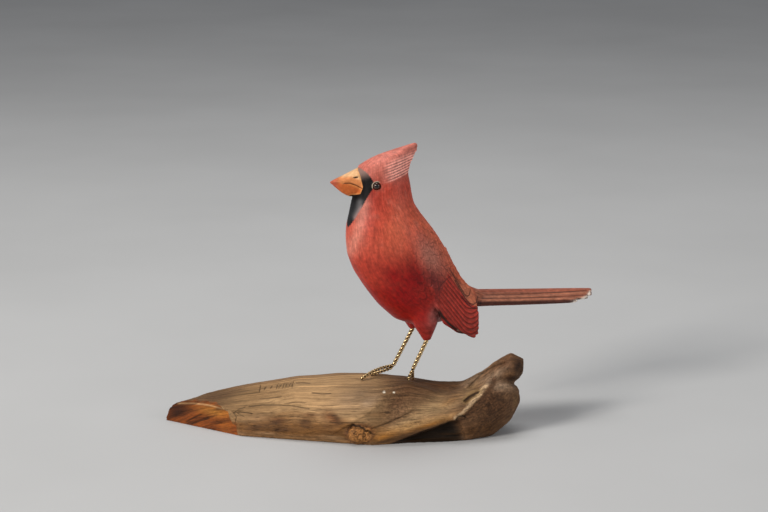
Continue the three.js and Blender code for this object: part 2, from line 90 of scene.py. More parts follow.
def pointsOf(piece):  # in millimetres
    points = np.empty(len(piece.data.vertices) * 3, dtype=np.float32)
    piece.data.vertices.foreach_get("co", points)
    return points.reshape(-1, 3).astype(float) / mm


def normalsOf(piece):
    normals = np.empty(len(piece.data.vertices) * 3, dtype=np.float32)
    piece.data.vertices.foreach_get("normal", normals)
    return normals.reshape(-1, 3).astype(float)


def movePoints(piece, points):
    piece.data.vertices.foreach_set("co", (points * mm).astype(np.float32).ravel())
    piece.data.update()


def keepValues(piece, name, values):  # one number, vector or colour for each vertex
    kinds = {1: ("FLOAT", "value"), 3: ("FLOAT_VECTOR", "vector"), 4: ("FLOAT_COLOR", "color")}
    kind, key = kinds[values.shape[1] if values.ndim > 1 else 1]
    layer = piece.data.attributes.new(name, kind, "POINT")
    layer.data.foreach_set(key, values.astype(np.float32).ravel())


def softened(piece, weights, rounds):  # smooths a mesh, more where the weight is higher
    group = piece.vertex_groups.new(name="soft")
    levels = np.round(np.clip(weights, 0, 1) * 100).astype(int)
    for level in np.unique(levels):
        group.add(np.nonzero(levels == level)[0].tolist(), level / 100, "REPLACE")
    applied(piece, "SMOOTH", factor=0.6, iterations=rounds, vertex_group="soft")
    piece.vertex_groups.clear()


def thinned(piece, faces):  # down to about this many triangles
    have = sum(len(polygon.vertices) - 2 for polygon in piece.data.polygons)
    if have > faces:
        applied(piece, "DECIMATE", ratio=faces / have)


def finished(piece, node, material):
    piece.data.materials.append(material)
    piece.data.polygons.foreach_set("use_smooth", [True] * len(piece.data.polygons))
    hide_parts(node)
    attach(piece, "root")


# Numbers over many points at once

def ramp(value, low, high):
    share = np.clip((value - low) / (high - low), 0, 1)
    return share * share * (3 - 2 * share)


def fall(value, low, high):
    return ramp(-value, -high, -low)


def hill(value, middle, half):  # 1 in the middle, fading to nothing
    return np.exp(-((value - middle) / half) ** 2)


noiseMix = {"turns": (12.9898, 78.233, 37.719), "seedTurn": 4.1, "spread": 43758.5453}
noiseSizes = (1, 0.5, 0.25)
noiseSpan = 2.6


def cloud(points, seed):  # smooth noise from 0 to 1, with one cell to a unit
    cell = np.floor(points)
    part = points - cell
    part = part * part * (3 - 2 * part)
    total = np.zeros(len(points))
    for corner in product((0, 1), repeat=3):
        turned = (cell + corner) @ noiseMix["turns"] + seed * noiseMix["seedTurn"]
        mixed = np.sin(turned) * noiseMix["spread"]
        total += (mixed - np.floor(mixed)) * np.prod(np.where(corner, part, 1 - part), axis=1)
    return total


def roughCloud(points, seed):  # three sizes of noise together, about -1 to 1
    total = sum(cloud(points / size, seed + step) * size for step, size in enumerate(noiseSizes))
    return (total / sum(noiseSizes) - 0.5) * noiseSpan


def noiseOf(points, noise):  # noise of a given size and seed
    size, seed = noise
    return roughCloud(points / size, seed)


def treeOf(places):  # finds the nearest of these places
    tree = KDTree(len(places))
    for number, place in enumerate(places):
        tree.insert(place, number)
    tree.balance()
    return tree


def alongLine(spots, line):  # distance from a line of flat points, way along it, side of it
    line = np.array(line, float)
    best = np.full(len(spots), 1e9)
    way = np.zeros(len(spots))
    side = np.zeros(len(spots))
    run = 0.0
    for start, end in zip(line[:-1], line[1:]):
        step = end - start
        length = np.linalg.norm(step)
        arm = spots - start
        share = np.clip(arm @ step / length ** 2, 0, 1)
        gap = arm - share[:, None] * step
        distance = np.hypot(gap[:, 0], gap[:, 1])
        nearer = distance < best
        best = np.where(nearer, distance, best)
        way = np.where(nearer, run + share * length, way)
        side = np.where(nearer, np.sign(step[0] * arm[:, 1] - step[1] * arm[:, 0]), side)
        run += length
    return best, way, side


def throughPoints(points, count):  # evenly spaced places on a smooth curve
    points = np.array(points, float)
    ends = (2 * points[0] - points[1], 2 * points[-1] - points[-2])
    padded = np.vstack([ends[0], points, ends[1]])
    share = np.linspace(0, 1, 40, endpoint=False)[:, None]
    fine = []
    for i in range(len(points) - 1):
        p0, p1, p2, p3 = padded[i:i + 4]
        d0, d1, d2 = (np.linalg.norm(b - a) ** 0.5 for a, b in ((p0, p1), (p1, p2), (p2, p3)))
        leave = ((p1 - p0) / d0 - (p2 - p0) / (d0 + d1) + (p2 - p1) / d1) * d1
        arrive = ((p2 - p1) / d1 - (p3 - p1) / (d1 + d2) + (p3 - p2) / d2) * d1
        fine.append((2 * p1 - 2 * p2 + leave + arrive) * share ** 3
                    + (3 * p2 - 3 * p1 - 2 * leave - arrive) * share ** 2 + leave * share + p1)
    fine = np.vstack(fine + [points[-1:]])
    run = np.concatenate([[0], np.cumsum(np.linalg.norm(np.diff(fine, axis=0), axis=1))])
    places = np.linspace(0, run[-1], count)
    return np.stack([np.interp(places, run, fine[:, k]) for k in range(fine.shape[1])], axis=1)


def tone(red, green, blue):  # a colour as a paint chart gives it, 0 to 255
    shares = np.array([red, green, blue]) / 255
    return np.where(shares < 0.04045, shares / 12.92, ((shares + 0.055) / 1.055) ** 2.4)


def chartOf(tones):
    return {name: tone(*value) for name, value in tones.items()}


def painted(colours, over, amount):  # lays one colour over others
    return colours + (np.asarray(over) - colours) * np.clip(amount, 0, 1)[:, None]


def layered(colours, chart, layers):  # lays named tones over others, one after the other
    for name, amount in layers:
        colours = painted(colours, chart[name], amount)
    return colours


# Camera, at the photograph's viewing angle

cameraLook = {
    "place": (-0.8, -1360.1, 457.3),
    "aim": (2.4, 0.2, 124.9),
    "lens": 91.2,
    "pictureWidth": 768,
    "pictureHeight": 512,
}

bpy.ops.object.camera_add(location=Vector(cameraLook["place"]) * mm)
camera = bpy.context.object
aimLine = Vector(cameraLook["aim"]) - Vector(cameraLook["place"])
camera.rotation_euler = aimLine.to_track_quat("-Z", "Y").to_euler()
camera.data.lens = cameraLook["lens"]
camera.data.clip_end = 50
bpy.context.scene.camera = camera
bpy.context.view_layer.update()
cameraAxes = np.array(camera.matrix_world.to_3x3())
cameraPlace = np.array(cameraLook["place"])


def spotsOf(points):  # where points are seen in the picture, in its pixels
    seen = (points - cameraPlace) @ cameraAxes
    reach = cameraLook["pictureWidth"] * cameraLook["lens"] / camera.data.sensor_width
    across = cameraLook["pictureWidth"] / 2 - seen[:, 0] / seen[:, 2] * reach
    down = cameraLook["pictureHeight"] / 2 + seen[:, 1] / seen[:, 2] * reach
    return np.stack([across, down], axis=1)


def blot(spots, middle, halves, turn=0.0):  # a soft oval on the picture
    angle = math.radians(turn)
    arm = spots - middle
    along = arm[:, 0] * math.cos(angle) + arm[:, 1] * math.sin(angle)
    across = arm[:, 1] * math.cos(angle) - arm[:, 0] * math.sin(angle)
    return np.exp(-(along / halves[0]) ** 2 - (across / halves[1]) ** 2)


def stroke(spots, line, half):  # a soft line on the picture
    return hill(alongLine(spots, line)[0], 0, half)


def besideLine(spots, line):  # distance to the right of a line, below nothing to its left
    distance, _, side = alongLine(spots, line)
    return distance * side


def insideOf(spots, outline):  # distance inside a closed outline, below nothing outside it
    closed = list(outline) + [outline[0]]
    x, y = spots.T
    inside = np.zeros(len(spots), bool)
    for (startX, startY), (endX, endY) in zip(closed[:-1], closed[1:]):
        crossing = startX + (endX - startX) * (y - startY) / ((endY - startY) or 1)
        inside ^= ((startY > y) != (endY > y)) & (x < crossing)
    return alongLine(spots, closed)[0] * np.where(inside, 1, -1)


lineFade = (0.7, 1.7)  # past a thin line's edge its darkness ends between these, in pixels
farFromLine = 9.0


def thinLines(spots, lines):  # nearest line: distance in half widths, signed, and darkness
    gap = np.full(len(spots), farFromLine)
    dark = np.zeros(len(spots))
    for line, half, shade in lines:
        distance, _, side = alongLine(spots, line)
        nearer = distance / half < np.abs(gap)
        gap = np.where(nearer, side * distance / half, gap)
        fade = fall(distance, half + lineFade[0], half + lineFade[1])
        dark = np.where(nearer, shade * fade, dark)
    return np.clip(gap, -farFromLine, farFromLine), dark


# Nodes of the materials

def newMaterial(name):
    material = bpy.data.materials.new(name)
    material.use_nodes = True
    material.node_tree.nodes["Principled BSDF"].name = "skin"
    return material


def addNode(material, kind, sockets=None, **settings):
    made = material.node_tree.nodes.new(kind)
    for name, value in settings.items():
        setattr(made, name, value)
    for name, value in (sockets or {}).items():
        if isinstance(value, bpy.types.NodeSocket):
            material.node_tree.links.new(value, made.inputs[name])
        else:
            made.inputs[name].default_value = value
    return made


def attribute(material, name):
    return addNode(material, "ShaderNodeAttribute", attribute_name=name)


def figure(material, operation, first, second=0.0, third=0.0):
    made = addNode(material, "ShaderNodeMath", {0: first, 1: second, 2: third}, operation=operation)
    return made.outputs[0]


def streaks(material, vector, scale, detail=4.0, roughness=0.55):  # noise pulled out by scale
    placed = addNode(material, "ShaderNodeMapping", {"Vector": vector, "Scale": scale})
    made = addNode(material, "ShaderNodeTexNoise", {
        "Vector": placed.outputs[0], "Scale": 1.0, "Detail": detail, "Roughness": roughness})
    return made.outputs["Fac"]


def between(material, value, low, high, fromLow=0.0, fromHigh=1.0):  # rescales a number
    made = addNode(material, "ShaderNodeMapRange", {
        "Value": value, "From Min": fromLow, "From Max": fromHigh, "To Min": low, "To Max": high})
    return made.outputs[0]


def scaledColour(material, colour, amount):
    made = addNode(material, "ShaderNodeVectorMath", {0: colour, "Scale": amount}, operation="SCALE")
    return made.outputs[0]


def mixedColour(material, amount, first, second):
    made = material.node_tree.nodes.new("ShaderNodeMix")
    made.data_type = "RGBA"
    sockets = [s for s in made.inputs if s.enabled]
    for socket, value in zip(sockets, (amount, first, second)):
        if isinstance(value, bpy.types.NodeSocket):
            material.node_tree.links.new(value, socket)
        else:
            socket.default_value = value
    return next(s for s in made.outputs if s.enabled)


def skinOf(material, **sockets):
    skin = material.node_tree.nodes["skin"]
    for name, value in sockets.items():
        socket = skin.inputs[name.replace("_", " ")]
        if isinstance(value, bpy.types.NodeSocket):
            material.node_tree.links.new(value, socket)
        else:
            socket.default_value = value


def bumped(material, height, depth, strength=1.0):  # depth in metres
    made = addNode(material, "ShaderNodeBump", {
        "Height": height, "Distance": depth, "Strength": strength})
    return made.outputs[0]


# The bird's own frame

birdPose = {
    "turn": 20,  # degrees, as the bird stands on the driftwood
    "headTurn": -12,  # degrees, head against the body
    "neckX": -14,
    "neckLow": 150,
    "neckHigh": 176,
    "eyeX": -20.8,
    "eyeZ": 180.8,
}


def turnedAbout(points, degrees, middle):
    angle = np.radians(degrees)
    x = points[:, 0] - middle[0]
    y = points[:, 1] - middle[1]
    return np.stack([x * np.cos(angle) - y * np.sin(angle) + middle[0],
                     x * np.sin(angle) + y * np.cos(angle) + middle[1], points[:, 2]], axis=1)


def headTurned(points, way):
    share = ramp(points[:, 2], birdPose["neckLow"], birdPose["neckHigh"])
    return turnedAbout(points, way * birdPose["headTurn"] * share, (birdPose["neckX"], 0))


eyePlaces = {}
for eyeName in ("eye_left", "eye_right"):
    eyeLow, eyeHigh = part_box(eyeName)
    eyePlaces[eyeName] = (np.array(eyeLow) + np.array(eyeHigh)) / 2 / mm
eyeMiddle = (eyePlaces["eye_left"] + eyePlaces["eye_right"]) / 2
laidEye = np.array([[birdPose["eyeX"], 0, birdPose["eyeZ"]]])
birdOrigin = eyeMiddle - turnedAbout(headTurned(laidEye, 1), birdPose["turn"], (0, 0))[0]


def laidOut(points):  # from the shared frame to the bird's own
    return headTurned(turnedAbout(points - birdOrigin, -birdPose["turn"], (0, 0)), -1)


def stoodUp(points):  # from the bird's own frame to the shared one
    return turnedAbout(headTurned(points, 1), birdPose["turn"], (0, 0)) + birdOrigin


# Wings: the surface that the feathers lie on, from shoulder to tip

wingForm = {
    "upper": [(4.5, -14, 158), (16.4, -12, 149.8), (26.2, -10.5, 138.2), (33.4, -9.5, 125),
              (39.6, -9.5, 112), (47.4, -10.5, 102.2), (54.6, -12.5, 93.4)],
    "lower": [(-4, -19.5, 154.5), (-1.8, -24.6, 144), (2, -26.8, 129), (7, -27.2, 118.5),
              (14.6, -26.4, 106), (21.5, -23.6, 88), (35.2, -20.6, 73.8), (53.0, -17.5, 62.6)],
    "swell": 2.6,
    "tipThinner": 0.5,
    "edgeAt": (460, 290),  # a feather's edge on the picture, its slope and its distance to the next
    "edgeSlope": 1.24,
    "edgeGap": 5.1,
    "tipFrom": 463,  # right of this place the tips turn up
    "tipTurn": 0.08,
    "coverEnd": 0.54,
    "near": 2.4,  # skin this near the wing's surface is the wing's, and past reach it isn't
    "reach": 4.2,
    "steps": 61,
    "ways": 101,
}


def leftSide(laid):  # the right side's points moved to their mirror places
    return np.stack([laid[:, 0], -np.abs(laid[:, 1]), laid[:, 2]], axis=1)


def wingSheet():  # a grid of places on the wing's skin, and across, down and out of it there
    steps, ways = wingForm["steps"], wingForm["ways"]
    upper = throughPoints(wingForm["upper"], ways)
    lower = throughPoints(wingForm["lower"], ways)
    shares = np.linspace(0, 1, steps)[:, None, None]
    sheet = upper + (lower - upper) * shares
    across = np.broadcast_to(lower - upper, sheet.shape)
    out = np.cross(across, np.gradient(sheet, axis=1))
    out *= -np.sign(out[..., 1:2]) / np.linalg.norm(out, axis=2, keepdims=True)
    thinner = 1 - wingForm["tipThinner"] * np.linspace(0, 1, ways)[None, :, None]
    sheet = sheet + out * wingForm["swell"] * 4 * shares * (1 - shares) * thinner
    down = np.gradient(sheet, axis=1) * (ways - 1)
    return [grid.reshape(-1, 3) for grid in (sheet, across, down, out)]


def wingPlaces(laid):  # for each point: share down the wing, way along it, distance out of it
    sheet, across, down, out = wingSheet()
    tree = treeOf(sheet)
    mirrored = leftSide(laid)
    near = np.array([tree.find(place)[1] for place in mirrored])
    arm = mirrored - sheet[near]
    share = (near // wingForm["ways"]) / (wingForm["steps"] - 1)
    way = (near % wingForm["ways"]) / (wingForm["ways"] - 1)
    share = share + np.sum(arm * across[near], axis=1) / np.sum(across[near] ** 2, axis=1)
    way = way + np.sum(arm * down[near], axis=1) / np.sum(down[near] ** 2, axis=1)
    return share, way, np.sum(arm * out[near], axis=1)


# Bird: copied from the solid, its facets smoothed away and its finer carving cut in

birdForm = {
    "cell": 0.42,
    "faces": 192000,
    "smoothing": 280,
    "giveBack": 0.3,  # gives back what the smoothing took
    "combLines": 9,
    "combDepth": 0.35,
    "quillHeight": 0.16,
    "edgeDepth": 0.3,
    "lipDepth": 0.1,
    "scaleLong": 5.6,
    "scaleWide": 5.0,
    "scaleDepth": 0.12,
    "hairDepth": 0.07,
    "ribHeight": 0.22,
    "mouthDepth": 0.35,
    "nostrilDepth": 0.5,
    "girth": 22,  # turns the angle round the body into a length
    "tailRoot": (44.0, 93.0),
    "tailTip": (152.0, 86.4),
    "tailHalves": (4.2, 4.5),
    "tailSteps": (2.0, 3.7),
    "tailShorter": (0, 2.0, 7.0, 17.0),
}
birdAxis = [(-16, 212), (-15, 184), (-14, 160), (-8, 138), (2, 119), (16, 101), (36, 92),
            (70, 91), (150, 88)]
combLow = [(-10.5, 184.0), (3.0, 187.6)]
combHigh = [(-10.5, 201.0), (10.5, 206.6)]
birdSpans = {  # where a region fades in or out, in mm or as a share
    "wingTop": (-0.08, 0.0),
    "wingBottom": (1.0, 1.08),
    "wingRoot": (-0.02, 0.03),
    "wingTip": (1.01, 1.06),
    "wingInner": (5, 7),
    "tailRoot": (51, 56),
    "tailDepth": (6, 9),
    "crestFront": (-19, -5),
    "crestLow": (-0.06, 0.03),
    "crestHigh": (0.55, 0.95),
    "thighTop": (76, 84),
    "thighBack": (24, 30),
    "scalesFront": (-8, 10),
    "scalesLow": (88, 100),
    "scalesHigh": (150, 178),
    "back": (-2, 14),
    "backTop": (150, 170),
    "nearEye": (170, 172),
    "breast": (140, 160),
    "breastLow": (120, 142),
    "belly": (96, 118),
    "crown": (178, 188),
    "crest": (186, 198),
    "strokesPale": (124, 150),
    "underTail": (2.2, 3.4),
    "tailTop": (-0.8, 0.0),
    "tailEnds": (0.6, 1.2),
    "underWingFrom": (0.42, 0.5),
    "underWingBelow": (1.005, 1.03),
    "underWingIn": (-1.6, -0.9),
}
rumpReach = (11.5, 66)  # the wings' tips at the tail's root are outside of this and before it
backSlope = 0.62

# Places on the picture are given on the bird's left side; the right side is its mirror twin
billOutline = [(357.6, 156), (357.9, 169.8), (360.3, 176), (362.9, 187.4), (360.4, 194.0), (350.2, 195.3),
               (344, 199), (322, 192), (322, 156)]
maskOutline = [(357.2, 167.2), (361.8, 168.9), (366.5, 172.6), (370.8, 177.3), (373.4, 182), (374, 187.4),
               (371.6, 191), (367.8, 196.6), (362.6, 206.2), (357, 215.6), (352.4, 222.4), (348, 227.4),
               (338, 232), (332, 200), (332, 156)]
coverEdge = [(452, 275.2), (447.5, 278.5), (444, 281.5), (440.5, 285.5), (438.5, 290)]
innerFeathers = [
    [(452, 273), (456.5, 280.5), (461.5, 289), (464.8, 294.6), (467.2, 296.4), (469.4, 295), (470.2, 290.5)],
    [(455, 281), (460.3, 289.8), (465.2, 298.2), (470, 303.4), (473.6, 304.5), (476.6, 302.2),
     (477.2, 297.6)],
    [(462, 297.5), (467.5, 304.4), (472.6, 308), (476.8, 308.6), (480, 306.2), (480.8, 302)],
]
tailLines = [
    [(486, 294.6), (520, 294.2), (555, 292.6), (586, 290.4)],
    [(482, 298.4), (520, 298), (555, 296.8), (583, 295.4)],
]
innerEdge = [(444, 267), (452, 279), (460, 291), (466, 299.6), (471, 304.6), (476, 306.6), (482, 306.6)]
birdLines = [  # line, half width in pixels, darkness
    ([(344.6, 183.5), (347.4, 183.3), (350.4, 183.3), (355.8, 185.1), (361.7, 188.2)], 0.5, 0.8),
    ([(355.0, 177.6), (357.2, 177.2)], 0.8, 0.95),
    (coverEdge, 0.6, 0.45),
    *[(line, 0.5, 0.8) for line in innerFeathers],
    ([(436.5, 268), (441, 273.5), (446, 280)], 0.45, 0.45),
    ([(442, 264.5), (446.5, 270), (452, 276.5)], 0.45, 0.45),
    ([(449, 268.5), (455, 276), (461, 284)], 0.45, 0.5),
    *[(line, 0.6, 0.55) for line in tailLines],
    ([(430.5, 243.6), (433, 242.2), (435.6, 243.4)], 0.5, 0.4),
    ([(434.5, 254.4), (437.8, 255.6), (441, 254.2)], 0.5, 0.4),
    ([(441, 265.2), (444.6, 266.4), (448, 264.8)], 0.5, 0.4),
]


def heightOn(line, x):
    (startX, startZ), (endX, endZ) = line
    return startZ + (endZ - startZ) * (x - startX) / (endX - startX)


def scalesOf(way, around):  # small overlapping feathers: distance inside the tip of each
    long, wide = birdForm["scaleLong"], birdForm["scaleWide"]
    row = np.floor(way / long)

    def inside(whichRow):
        column = around / wide + 0.5 * np.mod(whichRow, 2)
        across = 2 * (column - np.floor(column)) - 1
        return long * (1 + 0.75 * (1 - across ** 2)) - (way - whichRow * long)
    above = inside(row - 1)
    return np.where(above > 0, above, inside(row)), above


def wingRegion(laid):
    share, along, out = wingPlaces(laid)
    onWing = ramp(share, *birdSpans["wingTop"]) * fall(share, *birdSpans["wingBottom"])
    onWing *= ramp(along, *birdSpans["wingRoot"]) * fall(along, *birdSpans["wingTip"])
    onWing *= fall(np.abs(out), wingForm["near"], wingForm["reach"])
    onWing *= ramp(np.abs(laid[:, 1]), *birdSpans["wingInner"])
    return {"share": share, "along": along, "out": out, "onWing": onWing}


def tailRegion(laid):
    x, y, z = laid.T
    (rootX, rootZ), (tipX, tipZ) = birdForm["tailRoot"], birdForm["tailTip"]
    tailShare = np.clip((x - rootX) / (tipX - rootX), 0, 1)
    tailTop = rootZ + (tipZ - rootZ) * tailShare
    onTail = ramp(x, *birdSpans["tailRoot"]) * fall(np.abs(z - tailTop), *birdSpans["tailDepth"])
    onTail = np.where((np.abs(y) > rumpReach[0]) & (x < rumpReach[1]), 0, onTail)
    half = np.interp(tailShare, (0, 1), birdForm["tailHalves"])
    step = np.interp(tailShare, (0, 1), birdForm["tailSteps"])
    blade = np.maximum((np.abs(y) - half) / step, -1)
    ends = tipX - np.interp(np.clip(np.ceil(blade), 0, 3), range(4), birdForm["tailShorter"])
    return {"onTail": onTail, "blade": blade, "fromEnd": ends - x, "underTail": tailTop - z}


def crestRegion(laid):
    x, _, z = laid.T
    comb = (z - heightOn(combLow, x)) / (heightOn(combHigh, x) - heightOn(combLow, x))
    onComb = ramp(x, *birdSpans["crestFront"]) * ramp(comb, *birdSpans["crestLow"])
    return {"comb": comb, "onComb": onComb * fall(comb, *birdSpans["crestHigh"])}


def birdRegions(laid):
    x, y, z = laid.T
    spots = spotsOf(stoodUp(leftSide(laid)))
    axisGap, way, axisSide = alongLine(laid[:, [0, 2]], throughPoints(birdAxis, 40))
    regions = {
        "x": x, "y": y, "z": z, "spots": spots,
        "billIn": insideOf(spots, billOutline), "maskIn": insideOf(spots, maskOutline),
        "way": way, "around": np.arctan2(np.abs(y), axisSide * axisGap) * birdForm["girth"],
        "fromEye": np.sqrt((x - birdPose["eyeX"]) ** 2 + (z - birdPose["eyeZ"]) ** 2),
        **wingRegion(laid), **tailRegion(laid), **crestRegion(laid),
    }
    onThigh = fall(z, *birdSpans["thighTop"]) * fall(x, *birdSpans["thighBack"])
    return {**regions, "onThigh": onThigh * (1 - regions["onWing"])}


softness = {
    "head": 0.14,
    "crest": 0.01,
    "edge": 0.03,
    "eye": 0.05,
    "wing": 0.5,
    "feathers": 0.05,
    "tail": 0.01,
    "thigh": 0.2,
}
softSpans = {  # where each softness fades in
    "head": (184, 193),
    "crestBack": (0, 5),
    "billFront": (-31, -27),
    "billLow": (168, 172),
    "eye": (4.5, 7.5),
    "shoulder": (0.12, 0.45),
    "wingRim": (0.0, 0.12),
    "wingTip": (0.94, 0.98),
    "wing": (0.0, 0.6),
    "tailEnds": (0.6, 2.4),
    "thighEnd": (66, 69),
}


def softnessOf(regions):  # 1 where the facets are smoothed away, near 0 where an edge stays crisp
    x, z, along = regions["x"], regions["z"], regions["along"]

    def toward(soft, goal, amount):
        return soft + (goal - soft) * amount
    head = ramp(z, *softSpans["head"])
    crest = np.maximum(regions["onComb"], ramp(x, *softSpans["crestBack"]) * head)
    bill = fall(x, *softSpans["billFront"]) * ramp(z, *softSpans["billLow"])
    soft = toward(np.ones(len(x)), softness["head"], head)
    soft = toward(soft, softness["crest"], crest)
    soft = toward(soft, softness["edge"], bill)
    soft = toward(soft, softness["eye"], fall(regions["fromEye"], *softSpans["eye"]))
    onFeathers = ramp(along, wingForm["coverEnd"] - 0.16, wingForm["coverEnd"] - 0.02)
    wingSoft = toward(softness["wing"], softness["feathers"], onFeathers)
    rim = np.minimum(regions["share"], 1 - regions["share"])
    rimSoft = softness["edge"] + 0.6 * fall(along, *softSpans["shoulder"])
    rimSoft += 0.3 * ramp(rim, *softSpans["wingRim"])
    wingSoft = np.minimum(wingSoft, rimSoft) + 0.12 * ramp(along, *softSpans["wingTip"])
    soft = toward(soft, wingSoft, ramp(regions["onWing"], *softSpans["wing"]))
    tailSoft = softness["tail"] + 0.2 * fall(regions["fromEnd"], *softSpans["tailEnds"])
    soft = toward(soft, tailSoft, regions["onTail"])
    soft = toward(soft, softness["thigh"], regions["onThigh"])
    return toward(soft, softness["edge"], fall(z, *softSpans["thighEnd"]))


def featherTurn(regions):  # which feather, and how far across it
    edgeX, edgeY = wingForm["edgeAt"]
    x, y = regions["spots"].T
    turn = wingForm["tipTurn"] * np.maximum(x - wingForm["tipFrom"], 0) ** 2
    row = (y - edgeY - wingForm["edgeSlope"] * (x - edgeX) + turn) / wingForm["edgeGap"]
    return row, row - np.floor(row)


def flightShare(regions):  # 1 on the long feathers of the wing
    shown = ramp(regions["along"], wingForm["coverEnd"] - 0.02, wingForm["coverEnd"] + 0.02)
    shown *= ramp(besideLine(regions["spots"], innerEdge), -1.0, 0.2)
    return regions["onWing"] * shown * ramp(regions["out"], -1.0, -0.4)


def scaledShare(regions):  # 1 where the small feathers show
    x, z = regions["x"], regions["z"]
    shown = ramp(x, *birdSpans["scalesFront"]) * ramp(z, *birdSpans["scalesLow"])
    shown *= fall(z, *birdSpans["scalesHigh"]) * fall(regions["onTail"], 0, 0.2)
    return shown * (1 - flightShare(regions)) * fall(regions["billIn"], -1, 0)


profiles = {  # middle and half width of each rise, across a feather, a tail blade or a scale
    "featherQuill": (0.55, 0.13),
    "featherEdge": (0.0, 0.16),
    "featherLip": (1.0, 0.1),
    "bladeQuill": (0.5, 0.14),
    "bladeEdge": (0.0, 0.12),
    "scaleTip": (0.7, 0.7),
    "scaleUnder": (-0.4, 0.5),
    "tailRib": (0, 0.5),
}
hairSize = (9, 1.7)  # along and across the flow


def birdRelief(regions):
    flight = flightShare(regions)
    quill, edge = birdForm["quillHeight"], birdForm["edgeDepth"]
    cuts = np.cos(regions["comb"] * birdForm["combLines"] * 2 * math.pi)
    rise = birdForm["combDepth"] * regions["onComb"] * (0.5 * cuts - 0.3)
    _, across = featherTurn(regions)
    feather = quill * hill(across, *profiles["featherQuill"]) - edge * hill(across, *profiles["featherEdge"])
    rise += flight * (feather - birdForm["lipDepth"] * hill(across, *profiles["featherLip"]))
    blade = regions["blade"] - np.floor(regions["blade"])
    bladeRise = quill * hill(blade, *profiles["bladeQuill"]) - edge * hill(blade, *profiles["bladeEdge"])
    rise += regions["onTail"] * np.where(regions["blade"] > 0, bladeRise, 0)
    rise += regions["onTail"] * birdForm["ribHeight"] * hill(regions["y"], *profiles["tailRib"])
    inside, above = scalesOf(regions["way"], regions["around"])
    scales = hill(inside, *profiles["scaleTip"]) - hill(above, *profiles["scaleUnder"])
    rise += scaledShare(regions) * birdForm["scaleDepth"] * scales
    mouth, nostril = (stroke(regions["spots"], line, half + 0.1) for line, half, _ in birdLines[:2])
    billCuts = birdForm["mouthDepth"] * mouth + birdForm["nostrilDepth"] * nostril
    rise -= billCuts * ramp(regions["billIn"], -0.5, 0.5)
    along, across = hairSize
    flow = np.stack([regions["way"] / along, regions["around"] / across, regions["y"] * 0], axis=1)
    plain = (1 - flight) * (1 - regions["onTail"]) * fall(regions["billIn"], -1, 0)
    return rise + birdForm["hairDepth"] * roughCloud(flow, 3) * plain


birdPaint = {
    "crest": (202, 116, 102),
    # pale pink laid over the crest: a painted highlight
    "combHighlight": (246, 172, 158),
    "crown": (180, 90, 76),
    "cheek": (148, 42, 30),
    "neck": (180, 64, 48),
    "breast": (186, 74, 54),
    # pale pink: a painted highlight down the left of the breast, and pale brush patches
    "breastPaleAndHighlight": (206, 126, 108),
    # brighter orange on the flank where the light falls: a painted highlight
    "flankHighlight": (208, 100, 72),
    "breastLow": (168, 54, 38),
    # darker red where the lower belly and flank turn from the light: painted shade
    "deepRedShade": (136, 6, 6),
    "belly": (146, 24, 16),
    "back": (192, 92, 62),
    "backRed": (168, 60, 44),
    # grey-mauve coverts with a painted sheen in the middle of the wing
    "coverToneAndSheen": (184, 110, 92),
    "coverLow": (112, 34, 30),
    "flight": (162, 50, 38),
    "inner": (196, 112, 80),
    "tail": (150, 88, 66),
    "tailTop": (156, 86, 66),
    "tailPale": (184, 124, 96),
    # dark on the tail's underside: painted shade
    "tailUnderShade": (72, 34, 28),
    # near black under the wing's lower edge: painted shade
    "under": (44, 22, 18),
    "notch": (170, 130, 112),
    "thigh": (150, 40, 34),
    "thighBack": (160, 90, 84),
    "mask": (15, 13, 14),
    "maskThroat": (34, 34, 36),
    # pale grey streaks on the black throat: painted sheen
    "maskSheen": (100, 98, 100),
    "maskSheenEdge": (150, 124, 122),
    "maskTop": (146, 118, 110),
    "bill": (214, 136, 84),
    # lighter along the top of the upper bill: painted highlight
    "billRidgeHighlight": (230, 182, 134),
    "billLow": (188, 98, 50),
    "billRim": (222, 152, 88),
    "billTip": (186, 92, 72),
    # pale grey on the upper lid: painted highlight
    "lidHighlight": (176, 158, 140),
    "lidRed": (150, 70, 58),
    "worn": (240, 228, 214),
}
birdPatches = {  # on the picture: middle, half widths and turn in degrees
    "cheek": ((368, 198), (13, 12), 0),
    "flankHighlight": ((400, 228), (17, 30), 12),
    "bellyShade": ((402, 288), (28, 19), 62),
    "flankShade": ((418, 276), (15, 11), 60),
    "thighBack": ((436, 315), (6.5, 13), 20),
    "coverToneAndSheen": ((431, 257), (11, 21), -28),
    "coverLow": ((433, 281), (9, 15), -42),
}
birdStrokes = {  # on the picture: a line's points and half width
    "breastPaleAndHighlight": ([(363, 204), (359, 222), (357, 236), (352, 250)], 7),
    # a painted soft shadow along the wing's front edge
    "wingFrontShadow": ([(407, 258), (411, 268), (417, 278.5), (425, 288), (433, 295.5), (439, 303)], 2.6),
    "notchFront": ([(446.5, 317), (448.5, 319.8)], 0.9),
    "notchBack": ([(458, 330), (464, 331.2)], 0.9),
    "tailRim": ([(572, 302), (577, 301), (583, 299), (588, 296.2), (590.4, 292)], 1.5),
    # lines of painted sheen down the black throat
    "throat": ([(360, 202), (358.5, 209), (355, 216)], 2.8),
    "throatSheenEdge": ([(361.4, 207), (358.4, 212), (355, 218)], 1.5),
}
mouthLine = [(330, 181.5), (343.4, 183.6), (350, 183.2), (355.6, 185.1), (362.5, 188.6)]
flightLow = (312, 334)  # between these heights on the picture the wing darkens
innerHigh = (274, 290)
underHigh = (306, 313)
tailPaleDown = 2  # the pale stripes lie this far below the tail's dark lines
paintNoise = {  # size of the noise in mm, and its seed
    "patches": (8.0, 17),
    "brushed": ((3.4, 3.4, 5.0), 71),
    "speckle": (2.2, 11),
    "bill": (1.6, 23),
    "mask": ((4, 1.1, 4), 61),
}
paintSpeckle = 0.16
billSpeckle = 0.14


